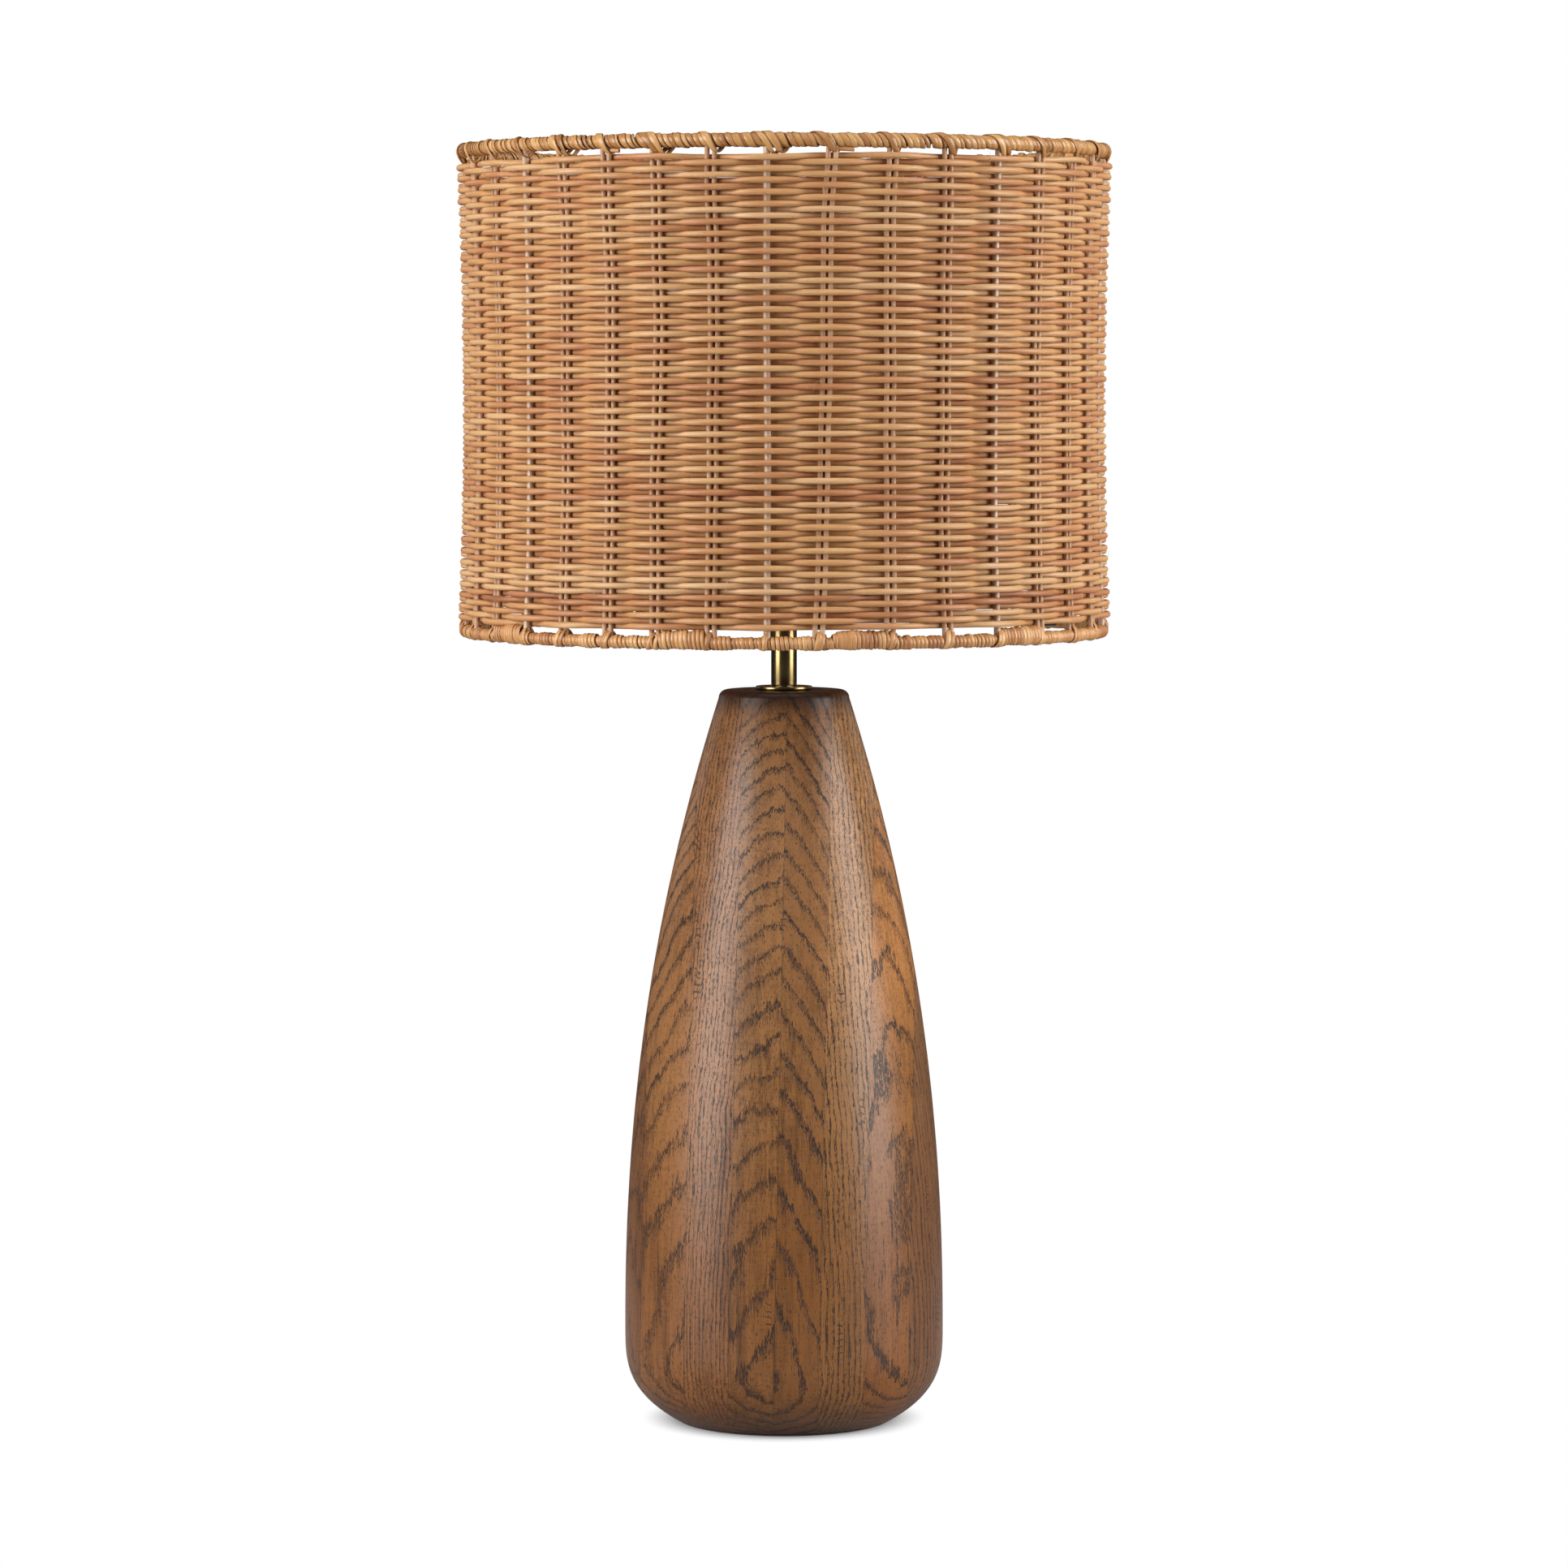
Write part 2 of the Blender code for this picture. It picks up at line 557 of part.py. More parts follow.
def make_spider(axis, finish):
    hub = tube_outline(HUB_BORE_RADIUS, HUB_RADIUS, HUB_Z, HUB_Z + HUB_THICKNESS)
    add_object("spider_hub", turned_mesh("spider_hub", hub), finish["dark_steel"], axis)
    for index in range(ARM_COUNT):
        name = f"spider_arm_{index + 1}"
        wire = bpy.data.curves.new(name, "CURVE")
        wire.dimensions = "3D"
        spline = wire.splines.new("POLY")
        points = arm_points()
        spline.points.add(len(points) - 1)
        for point, (radius, height) in zip(spline.points, points):
            point.co = (radius, 0.0, height, 1.0)
        wire.bevel_depth = ARM_RADIUS
        wire.bevel_resolution = 2
        wire.use_fill_caps = True
        azimuth = FRONT_STRUT_AZIMUTH + math.tau * index / ARM_COUNT
        add_object(name, wire, finish["dark_steel"], axis, around(azimuth, 0.0, 0.0))


def arm_notch_shape():
    """Three blocks that open the bottom rim's inner side for the arms."""
    shape = bmesh.new()
    half = ARM_RADIUS + SEAT_GAP
    for index in range(ARM_COUNT):
        block = bmesh.ops.create_cube(shape, size=1.0)["verts"]
        azimuth = FRONT_STRUT_AZIMUTH + math.tau * index / ARM_COUNT
        size = Matrix.Diagonal((RIM_RADIUS * 2, half * 2, half * 2, 1.0))
        place = around(azimuth, HOOP_RADIUS - RIM_RADIUS, BOTTOM_HOOP_Z) @ size
        bmesh.ops.transform(shape, matrix=place, verts=block)
    return shape


def make_hoops_and_rims(axis, finish):
    for name, height in (("top_hoop", TOP_HOOP_Z), ("bottom_hoop", BOTTOM_HOOP_Z)):
        add_object(name, hoop_mesh(name, height), finish["frame_steel"], axis)
    top = turned_mesh("top_rim_wrap", rim_outline(TOP_HOOP_Z, -1), SHADE_FACETS)
    add_object("top_rim_wrap", top, finish["rattan_peel"], axis)
    bottom = turned_mesh("bottom_rim_wrap", rim_outline(BOTTOM_HOOP_Z, 1), SHADE_FACETS)
    rim = add_object("bottom_rim_wrap", bottom, finish["rattan_peel"], axis)
    cut(rim, arm_notch_shape(), "arm_notch_cutter")


def strut_mesh():
    shape = bmesh.new()
    length = UPRIGHT_TOP_Z - UPRIGHT_BOTTOM_Z
    bmesh.ops.create_cone(
        shape,
        cap_ends=True,
        segments=8,
        radius1=STRUT_RADIUS,
        radius2=STRUT_RADIUS,
        depth=length,
    )
    bmesh.ops.translate(shape, vec=(0.0, 0.0, length / 2), verts=shape.verts[:])
    return mesh_from("frame_strut", shape)


def stake_curve(name):
    """One cane bent double: two legs side by side, joined by its bend under the top hoop."""
    stake = bpy.data.curves.new(name, "CURVE")
    stake.dimensions = "3D"
    spline = stake.splines.new("POLY")
    spline.points.add(3)
    side = STAKE_SPACING / 2
    bend = UPRIGHT_TOP_Z - UPRIGHT_BOTTOM_Z - STAKE_RADIUS
    route = ((-side, 0.0), (-side, bend), (side, bend), (side, 0.0))
    for point, (along, up) in zip(spline.points, route):
        point.co = (0.0, along, up, 1.0)
    stake.bevel_depth = STAKE_RADIUS
    stake.bevel_resolution = 1
    stake.use_fill_caps = True
    return stake


def wall_outline():
    """The woven wall's section, drawn in slightly at the waist."""
    points = [(WALL_INNER, WALL_BOTTOM_Z)]
    steps = 4
    for step in range(steps + 1):
        share = step / steps
        bow = (2.0 * share - 1.0) ** 2
        radius = WALL_WAIST_OUTER + (WALL_END_OUTER - WALL_WAIST_OUTER) * bow
        points.append((radius, WALL_BOTTOM_Z + (WALL_TOP_Z - WALL_BOTTOM_Z) * share))
    points.append((WALL_INNER, WALL_TOP_Z))
    return points


def tunnel_shape(struts, stakes):
    """The upright holes through the wall, one for each strut and each doubled stake."""
    shape = bmesh.new()
    margin = 0.0050
    height = WALL_TOP_Z - WALL_BOTTOM_Z + 2 * margin
    strut_size = 2 * (STRUT_RADIUS + SEAT_GAP)
    stake_size = 2 * (STAKE_RADIUS + SEAT_GAP)
    sizes = [(azimuth, strut_size, strut_size) for azimuth in struts]
    sizes += [(azimuth, stake_size, stake_size + STAKE_SPACING) for azimuth in stakes]
    for azimuth, deep, wide in sizes:
        block = bmesh.ops.create_cube(shape, size=1.0)["verts"]
        middle = (WALL_TOP_Z + WALL_BOTTOM_Z) / 2
        place = around(azimuth, UPRIGHT_RING_RADIUS, middle)
        place = place @ Matrix.Diagonal((deep, wide, height, 1.0))
        bmesh.ops.transform(shape, matrix=place, verts=block)
    return shape


def make_uprights_and_wall(axis, finish):
    struts, stakes = upright_azimuths()
    strut = strut_mesh()
    for index, azimuth in enumerate(struts):
        place = around(azimuth, UPRIGHT_RING_RADIUS, UPRIGHT_BOTTOM_Z)
        add_object(f"frame_strut_{index + 1}", strut, finish["frame_steel"], axis, place)
    for index, azimuth in enumerate(stakes):
        name = f"rattan_stake_{index + 1:02d}"
        place = around(azimuth, UPRIGHT_RING_RADIUS, UPRIGHT_BOTTOM_Z)
        add_object(name, stake_curve(name), finish["rattan"], axis, place)
    wall = turned_mesh("woven_wall", wall_outline(), SHADE_FACETS)
    piece = add_object("woven_wall", wall, finish["rattan"], axis)
    cut(piece, tunnel_shape(struts, stakes), "upright_cutter")


def main():
    clear_scene()
    finish = make_materials()
    base_axis = add_axis("base_axis", 0.0)
    ring_axis = add_axis("clamp_ring_axis", RING_Z)
    shade_axis = add_axis("shade_axis", HUB_Z)
    bulb_axis = add_axis("bulb_axis", BULB_Z)
    make_base(base_axis, finish)
    make_stack(base_axis, finish)
    make_lampholder(base_axis, finish)
    make_clamp_ring(ring_axis, finish)
    make_bulb(bulb_axis, finish)
    make_spider(shade_axis, finish)
    make_hoops_and_rims(shade_axis, finish)
    make_uprights_and_wall(shade_axis, finish)


main()
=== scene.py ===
"""Table lamp: a turned, laminated ash base, a brass stem and lampholder, and a drum shade of
woven rattan on a steel wire frame.

Every size is in metres and +Z is up. The lamp stands on Z = 0 with its front towards -Y.
An azimuth turns from the front towards +X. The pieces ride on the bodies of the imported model.
"""

import itertools
import json
import math

import bmesh
import bpy
import numpy as np
from bpy.props import FloatProperty, FloatVectorProperty, IntProperty, PointerProperty
from mathutils import Matrix, Vector

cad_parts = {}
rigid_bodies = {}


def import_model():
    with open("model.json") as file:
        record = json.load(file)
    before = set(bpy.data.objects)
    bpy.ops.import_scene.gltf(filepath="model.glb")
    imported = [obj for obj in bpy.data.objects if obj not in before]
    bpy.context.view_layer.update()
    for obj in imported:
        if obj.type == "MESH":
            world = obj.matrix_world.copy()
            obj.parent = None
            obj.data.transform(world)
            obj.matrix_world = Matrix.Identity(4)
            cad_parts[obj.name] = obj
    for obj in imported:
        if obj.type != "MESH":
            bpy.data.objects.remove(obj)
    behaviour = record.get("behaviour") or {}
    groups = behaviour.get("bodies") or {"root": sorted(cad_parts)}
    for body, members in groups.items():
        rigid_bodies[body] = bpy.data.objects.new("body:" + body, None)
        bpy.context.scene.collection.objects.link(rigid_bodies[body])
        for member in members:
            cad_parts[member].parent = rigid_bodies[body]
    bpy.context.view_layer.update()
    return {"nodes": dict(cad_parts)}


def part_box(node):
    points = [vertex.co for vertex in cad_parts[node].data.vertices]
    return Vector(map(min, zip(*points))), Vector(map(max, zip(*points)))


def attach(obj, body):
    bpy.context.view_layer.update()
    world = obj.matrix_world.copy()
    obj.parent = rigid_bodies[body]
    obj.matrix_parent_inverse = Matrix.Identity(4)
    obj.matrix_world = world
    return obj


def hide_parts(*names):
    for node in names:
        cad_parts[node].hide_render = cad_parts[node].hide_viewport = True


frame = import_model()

bl_info = {
    "name": "Rattan Table Lamp",
    "version": (1, 0, 0),
    "blender": (4, 5, 0),
    "location": "3D View > Sidebar > Lamp",
    "description": "Builds a table lamp with a turned ash base and a woven rattan shade",
    "category": "Object",
}

SEAT_GAP = 0.0003  # between pieces that rest on each other
SHARP_ANGLE = math.radians(35.0)  # edges sharper than this stay crisp
STRAND_MAP = "strand_map"  # UV map of a cane or strip: metres along it, metres round it
STRIP_GIRTH = 0.010  # what the map counts round a strip, whatever its width


def length_setting(name, description, default):
    return FloatProperty(
        name=name, description=description, default=default, unit="LENGTH", precision=4
    )


def colour_setting(name, description, default):
    return FloatVectorProperty(
        name=name, description=description, default=default, subtype="COLOR", size=3, min=0.0, max=1.0
    )


class TimberSettings(bpy.types.PropertyGroup):
    belly_height: length_setting("Belly height", "Height of the widest place", 0.0580)
    top_round: length_setting("Top round", "Radius of the rounded top edge", 0.0050)
    foot_radius: length_setting("Foot radius", "Edge of the flat underside", 0.0690)
    neck_radius: length_setting("Neck radius", "Radius under the rounded top edge", 0.0402)
    board_width: length_setting("Board width", "Thickness of one glued board", 0.0273)
    light_colour: colour_setting("Late wood", "Palest colour between the pores", (0.376, 0.191, 0.086))
    dark_colour: colour_setting("Early wood", "Colour of the deeper bands", (0.122, 0.055, 0.021))
    pore_colour: colour_setting("Pores", "Wax in the open pores", (0.026, 0.012, 0.005))


class MetalSettings(bpy.types.PropertyGroup):
    brass_colour: colour_setting("Brass", "Lacquered brass", (0.27, 0.195, 0.083))
    steel_colour: colour_setting("Zinc steel", "Zinc-plated steel", (0.55, 0.55, 0.54))
    strut_colour: colour_setting("Frame wire", "Copper-washed wire", (0.56, 0.402, 0.280))
    arm_colour: colour_setting("Arms", "Dark lacquered wire", (0.045, 0.042, 0.040))
    edge_round: length_setting("Edge round", "Rounding of the metal edges", 0.0004)


class WeaveSettings(bpy.types.PropertyGroup):
    cane_radius: length_setting("Cane radius", "Radius of the weaving cane", 0.00188)
    stake_radius: length_setting("Stake radius", "Radius of one leg of a stake", 0.00152)
    stake_spacing: length_setting("Stake spacing", "Between the two legs of a stake", 0.0043)
    strut_radius: length_setting("Strut radius", "Radius of a wire strut", 0.00205)
    rows: IntProperty(name="Rows", description="Turns of weaving cane", default=81, min=4, max=120)
    first_row: length_setting("First row", "Height of the lowest row", 0.4968)
    last_row: length_setting("Last row", "Height of the highest row", 0.7738)
    waist: length_setting("Waist", "How far the wall draws in at mid height", 0.0012)
    flare: length_setting("Flare", "How far the wall spreads at its ends", 0.0024)
    sway: length_setting("Sway", "How far an upright wanders sideways", 0.0011)
    ripple: length_setting("Ripple", "How far a row wanders up and down", 0.00035)
    seed: IntProperty(name="Seed", description="Start of the random draws", default=11, min=0)


class RimSettings(bpy.types.PropertyGroup):
    top_height: length_setting("Top rim", "Height of the top rim's middle", 0.7803)
    bottom_height: length_setting("Bottom rim", "Height of the bottom rim's middle", 0.4893)
    rim_radius: length_setting("Rim radius", "From the rim's middle to its strips", 0.0036)
    strip_width: length_setting("Top strip", "Width of a strip on the top rim", 0.0042)
    lower_strip_width: length_setting("Bottom strip", "Width of a strip on the bottom rim", 0.0030)
    strip_thickness: length_setting("Strip thickness", "Thickness of the peel", 0.0012)


class StageSettings(bpy.types.PropertyGroup):
    camera_place: FloatVectorProperty(
        name="Camera",
        description="Where the camera stands",
        default=(0.0, -3.508, 0.6427),
        unit="LENGTH",
    )
    camera_tilt: FloatProperty(
        name="Tilt",
        description="Downward tilt of the camera",
        default=math.radians(4.06),
        unit="ROTATION",
    )
    camera_lens: FloatProperty(name="Lens", description="Focal length in millimetres", default=131.1)
    floor_size: length_setting("Floor", "Side of the floor", 14.0)


SETTINGS = {
    "lamp_timber": TimberSettings,
    "lamp_metal": MetalSettings,
    "lamp_weave": WeaveSettings,
    "lamp_rim": RimSettings,
    "lamp_stage": StageSettings,
}


class Finish:
    """A material being made: each call adds one node and gives back its output."""

    def __init__(self, name, roughness=0.5, metallic=0.0, **sockets):
        self.material = bpy.data.materials.new(name)
        self.material.use_nodes = True
        self.tree = self.material.node_tree
        self.shader = self.tree.nodes["Principled BSDF"]
        self.set("Roughness", roughness)
        self.set("Metallic", metallic)
        for socket, value in sockets.items():
            self.set(socket.replace("_", " ").title().replace("Ior", "IOR"), value)

    def join(self, socket, value):
        if isinstance(value, bpy.types.NodeSocket):
            self.tree.links.new(value, socket)
        elif value is not None:
            if socket.type == "RGBA" and len(value) == 3:
                value = (*value, 1.0)
            socket.default_value = value

    def set(self, socket, value):
        self.join(self.shader.inputs[socket], value)

    def node(self, kind, *values, **settings):
        node = self.tree.nodes.new("ShaderNode" + kind)
        for key, value in settings.items():
            setattr(node, key, value)
        for socket, value in zip(node.inputs, values):
            self.join(socket, value)
        return node

    def math(self, operation, *values):
        return self.node("Math", *values, operation=operation).outputs[0]

    def times(self, first, second):
        return self.math("MULTIPLY", first, second)

    def times_plus(self, first, second, third):
        return self.math("MULTIPLY_ADD", first, second, third)

    def minus(self, first, second):
        return self.math("SUBTRACT", first, second)

    def over(self, first, second):
        return self.math("DIVIDE", first, second)

    def size(self, value):
        return self.math("ABSOLUTE", value)

    def place(self, scale=(1.0, 1.0, 1.0)):
        """The point on the object, with each axis scaled."""
        point = self.node("TexCoord").outputs["Object"]
        return self.node("Mapping", point, None, None, scale).outputs[0]

    def parts(self, vector):
        return self.node("SeparateXYZ", vector).outputs

    def join_parts(self, x=0.0, y=0.0, z=0.0):
        return self.node("CombineXYZ", x, y, z).outputs[0]

    def noise(self, vector, scale=1.0, detail=2.0, roughness=0.5):
        node = self.node("TexNoise", vector)
        for socket, value in (("Scale", scale), ("Detail", detail), ("Roughness", roughness)):
            node.inputs[socket].default_value = value
        return node.outputs["Fac"]

    def object_noise(self, scale, detail=2.0, roughness=0.5):
        """Noise on the object, with so many waves in a metre along each axis."""
        return self.noise(self.place(scale), 1.0, detail, roughness)

    def step(self, value, low, high, to_low=0.0, to_high=1.0):
        """A smooth step from one level to another as the value goes from low to high."""
        node = self.node("MapRange", value, low, high, to_low, to_high, interpolation_type="SMOOTHSTEP")
        return node.outputs[0]

    def mix(self, share, first, second, blend="MIX"):
        node = self.node("Mix", share, data_type="RGBA", blend_type=blend)
        self.join(node.inputs[6], first)
        self.join(node.inputs[7], second)
        return node.outputs[2]

    def tint(self, share, colour, tone):
        """The colour multiplied by a tone, as far as the share says."""
        return self.mix(share, colour, tone, "MULTIPLY")

    def ramp(self, share, stops, interpolation="LINEAR"):
        node = self.node("ValToRGB", share)
        node.color_ramp.interpolation = interpolation
        elements = node.color_ramp.elements
        elements.remove(elements[1])
        for index, (position, colour) in enumerate(stops):
            element = elements[0] if index == 0 else elements.new(position)
            element.position = position
            element.color = colour if len(colour) == 4 else (*colour, 1.0)
        return node.outputs["Color"]

    def bump(self, height, strength, distance):
        node = self.node("Bump")
        node.inputs["Strength"].default_value = strength
        node.inputs["Distance"].default_value = distance
        self.join(node.inputs["Height"], height)
        self.set("Normal", node.outputs["Normal"])


def finish_called(name, make, *settings):
    """The material of that name, made the first time that it is asked for."""
    return bpy.data.materials.get(name) or make(name, *settings)


# The boards from left to right: where the pith of its tree was, in millimetres from the
# lamp's axis (across, behind), how fast its rings widen upwards, the width of its rings, and
# its tint. A pith far to one side gives straight grain, and one far behind gives arches.
# The first board and the last two are tinted darker: painted shade on the lamp's flanks.
FRONT_BOARDS = (
    (200, 60, 0.03, 3.2, (0.56, 0.46, 0.38)),
    (-4, 23, 0.07, 4.9, (0.76, 0.64, 0.46)),
    (-260, 60, 0.03, 2.9, (0.77, 0.64, 0.48)),
    (-12, 132, 0.11, 4.6, (0.76, 0.66, 0.46)),
    (72, 111, 0.14, 6.4, (0.64, 0.54, 0.37)),
    (300, 50, 0.02, 3.6, (0.76, 0.68, 0.48)),
    (-118, 92, -0.05, 4.4, (0.76, 0.59, 0.32)),
    (60, 160, 0.05, 4.2, (0.58, 0.49, 0.40)),
    (60, 160, 0.05, 4.2, (0.60, 0.52, 0.44)),
)
BACK_BOARDS = (
    (-80, -150, 0.05, 4.4, (0.74, 0.64, 0.50)),
    (290, -60, 0.03, 3.4, (0.68, 0.57, 0.42)),
    (110, -90, -0.06, 3.6, (0.84, 0.72, 0.54)),
    (-70, -112, 0.12, 5.8, (0.68, 0.57, 0.42)),
    (240, -80, 0.03, 3.0, (0.84, 0.82, 0.76)),
    (14, -125, 0.11, 5.0, (0.72, 0.61, 0.45)),
    (-75, -105, 0.07, 4.2, (0.66, 0.55, 0.40)),
    (-280, -90, 0.03, 3.2, (0.80, 0.70, 0.54)),
    (30, -120, 0.05, 4.8, (0.72, 0.62, 0.47)),
)
PAINTED_SHADE_LOW_TONE = (0.78, 0.68, 0.50)  # painted shade: the wood darker towards the foot
PAINTED_HIGHLIGHT_TONE = (1.55, 1.60, 1.64)  # painted highlight higher up on the right of the front
PAINTED_END_SHADE = (0.17, 0.13, 0.11)  # painted shade on the top face and the foot
MILLIMETRES = (1000.0, 1000.0, 1000.0)
PITH_REACH = 320.0  # the furthest pith, which the board table holds as a share
WIDENING_REACH = 0.4
WIDEST_RING = 8.0


def board_tables():
    """Two colour ramps by the board's number: its pith, widening and ring width, and its tint."""
    boards = FRONT_BOARDS + BACK_BOARDS
    places, tints = [], []
    for index, (across, behind, widening, ring_width, tint) in enumerate(boards):
        place = [0.5 + 0.5 * value / PITH_REACH for value in (across, behind)]
        place += [0.5 + widening / WIDENING_REACH, ring_width / WIDEST_RING]
        places.append((index / len(boards), place))
        tints.append((index / len(boards), tint))
    return places, tints


def board_at(finish, x, y, z, board_width):
    """How far across the seams a point is, the number of its board and its share of the tables."""
    lean = finish.times_plus(z, -0.020, 7.1)
    seam = finish.over(finish.math("ADD", x, lean), board_width * 1000.0)
    count = len(FRONT_BOARDS)
    board = finish.math("FLOOR", finish.math("ADD", seam, 4.0))
    board = finish.math("MINIMUM", finish.math("MAXIMUM", board, 0.0), count - 1.0)
    behind = finish.math("GREATER_THAN", y, 0.0)
    index = finish.times_plus(behind, float(count), board)
    return seam, index, finish.over(finish.math("ADD", index, 0.5), 2.0 * count)


def rings_at(finish, x, y, z, index, table, waver):
    """Growth rings round that board's pith, wavering in long bends, short bends and fine teeth."""
    ring_width = finish.times(table.node.outputs["Alpha"], WIDEST_RING)
    pith = finish.node("SeparateColor", table).outputs
    dx = finish.minus(x, finish.times_plus(pith[0], 2.0 * PITH_REACH, -PITH_REACH))
    dy = finish.minus(y, finish.times_plus(pith[1], 2.0 * PITH_REACH, -PITH_REACH))
    widening = finish.times_plus(pith[2], WIDENING_REACH, -0.5 * WIDENING_REACH)
    squares = finish.times_plus(dx, dx, finish.times(dy, dy))
    ring = finish.minus(finish.math("SQRT", squares), finish.times(z, widening))
    warp = finish.noise(finish.join_parts(x, y, finish.times_plus(index, 90.0, z)), 0.014, 3.0)
    teeth = finish.object_noise((820.0, 820.0, 26.0), 1.0)
    for swing, reach in ((warp, 10.0), (waver, 3.4), (teeth, 2.6)):
        ring = finish.times_plus(swing, reach, ring)
    return finish.over(ring, ring_width)


def nicks_at(finish, point, z, waver, patch):
    """Nicks in short upright ladders, one in some of the cells of a Voronoi pattern."""
    cells = finish.node("TexVoronoi", point, None, 0.021)
    offset = finish.node("VectorMath", point, cells.outputs["Position"], operation="SUBTRACT")
    cell_x, _, cell_z = finish.parts(offset.outputs[0])
    chosen = finish.math("GREATER_THAN", finish.parts(cells.outputs["Color"])[0], 0.70)
    narrow = finish.step(finish.size(cell_x), 1.4, 2.4, 1.0, 0.0)
    short = finish.step(finish.size(cell_z), 8.0, 17.0, 1.0, 0.0)
    rung = finish.math("FRACT", finish.over(finish.times_plus(waver, 14.0, z), 4.6))
    nick = finish.step(finish.size(finish.minus(rung, 0.5)), 0.06, 0.13, 1.0, 0.0)
    for share in (chosen, narrow, short, finish.step(patch, 0.42, 0.52)):
        nick = finish.times(nick, share)
    return nick


def ash_timber(name, timber):
    """Glued boards of ash with their own growth rings, open pores, nicks and satin lacquer."""
    finish = Finish(name, 0.42, coat_weight=0.26, coat_roughness=0.30, specular_ior_level=0.25)
    point = finish.place(MILLIMETRES)
    x, y, z = finish.parts(point)
    seam, index, share = board_at(finish, x, y, z, timber.board_width)
    places, tints = board_tables()
    waver = finish.object_noise((120.0, 120.0, 34.0), 2.0, 0.6)
    rings = rings_at(finish, x, y, z, index, finish.ramp(share, places, "CONSTANT"), waver)

    # Early wood: a sharp inner edge, then short open pores that thin out
    phase = finish.math("FRACT", rings)
    fade = finish.step(phase, 0.05, 0.46, 1.0, 0.0)
    band = finish.times(finish.step(phase, 0.0, 0.04), fade)
    number = finish.math("FLOOR", rings)
    year = finish.node("TexWhiteNoise", None, number, noise_dimensions="1D").outputs["Value"]
    band = finish.times(band, finish.step(year, 0.0, 1.0, 0.62, 1.05))
    patch = finish.object_noise((30.0, 30.0, 11.0))
    band = finish.times(band, finish.step(patch, 0.30, 0.58, 0.60, 1.0))
    pores = finish.object_noise((1900.0, 1900.0, 360.0), 1.0)
    dark = finish.step(finish.times_plus(band, 0.27, pores), 0.62, 0.72)
    streaks = finish.object_noise((1250.0, 1250.0, 60.0), 1.0)
    dark = finish.math("MAXIMUM", dark, finish.step(streaks, 0.63, 0.76, 0.0, 0.60))

    # Colour of the wood itself
    fine = finish.object_noise((1500.0, 1500.0, 32.0), 3.0, 0.65)
    cloud = finish.object_noise((22.0, 22.0, 4.0), 3.0)
    chatter = finish.object_noise((130.0, 130.0, 900.0), 1.0)
    figure = finish.object_noise((340.0, 340.0, 12.0))
    depth = finish.times(fade, -0.34)
    for part, reach in ((fine, 1.30), (cloud, 1.20), (chatter, 0.50), (patch, 0.50), (figure, 1.10)):
        depth = finish.times_plus(part, reach, depth)
    colour = finish.mix(finish.step(depth, 1.50, 2.64), timber.dark_colour, timber.light_colour)
    colour = finish.tint(1.0, colour, finish.ramp(share, tints, "CONSTANT"))

    # Painted shade darkens the wood low down, and a painted highlight lightens the front boards on the
    # right higher up
    colour = finish.tint(finish.step(z, 90.0, 235.0, 1.0, 0.0), colour, PAINTED_SHADE_LOW_TONE)
    # Painted highlight: a soft light's sheen on the upper right of the front
    painted_highlight = finish.times(finish.step(x, 12.0, 34.0), finish.step(z, 215.0, 310.0))
    painted_highlight = finish.times(painted_highlight, finish.step(y, -12.0, 0.0, 1.0, 0.0))
    colour = finish.tint(painted_highlight, colour, PAINTED_HIGHLIGHT_TONE)

    # Wax in the pores, the glue lines and the nicks, and painted shade on the top face and the foot
    line = finish.size(finish.minus(finish.math("FRACT", seam), 0.5))
    nick = nicks_at(finish, point, z, waver, patch)
    glue = finish.step(line, 0.488, 0.499, 0.0, 0.45)
    for cover in (finish.times(dark, 0.95), glue, finish.times(nick, 0.85)):
        colour = finish.mix(cover, colour, timber.pore_colour)
    # Painted shade: the top face under the shade and the foot by the floor go darker
    shaded_top_face = finish.step(z, 434.0, 451.0)
    shaded_foot = finish.step(z, 4.0, 30.0, 0.42, 0.0)
    finish.set("Base Color", finish.tint(finish.math("MAXIMUM", shaded_top_face, shaded_foot), colour, PAINTED_END_SHADE))

    shine = finish.step(fine, 0.2, 0.8, 0.34, 0.46)
    finish.set("Roughness", finish.times_plus(dark, 0.22, shine))
    height = finish.times_plus(dark, -1.0, finish.times(fine, 0.25))
    finish.bump(finish.minus(height, nick), 0.6, 0.00025)
    return finish.material


class StrandFinish(Finish):
    """A finish whose patterns follow canes or strips, by their UV map."""

    def __init__(self, name, roughness, key_step, **sockets):
        super().__init__(name, roughness, **sockets)
        self.along, numbered, _ = self.parts(self.node("UVMap", uv_map=STRAND_MAP).outputs[0])
        self.girth = self.math("FRACT", numbered)
        self.key = self.times(self.math("FLOOR", numbered), key_step)

    def own_tone(self, scale):
        """A level that is the same all over one strand."""
        return self.noise(self.join_parts(self.key), scale, 0.0)

    def strand_noise(self, lengthwise, round_it, detail=2.0, roughness=0.5):
        """Noise with so many waves in a metre along the strand and round it."""
        along, girth = self.times(self.along, lengthwise), self.times(self.girth, round_it)
        return self.noise(self.join_parts(along, self.key, girth), 1.0, detail, roughness)


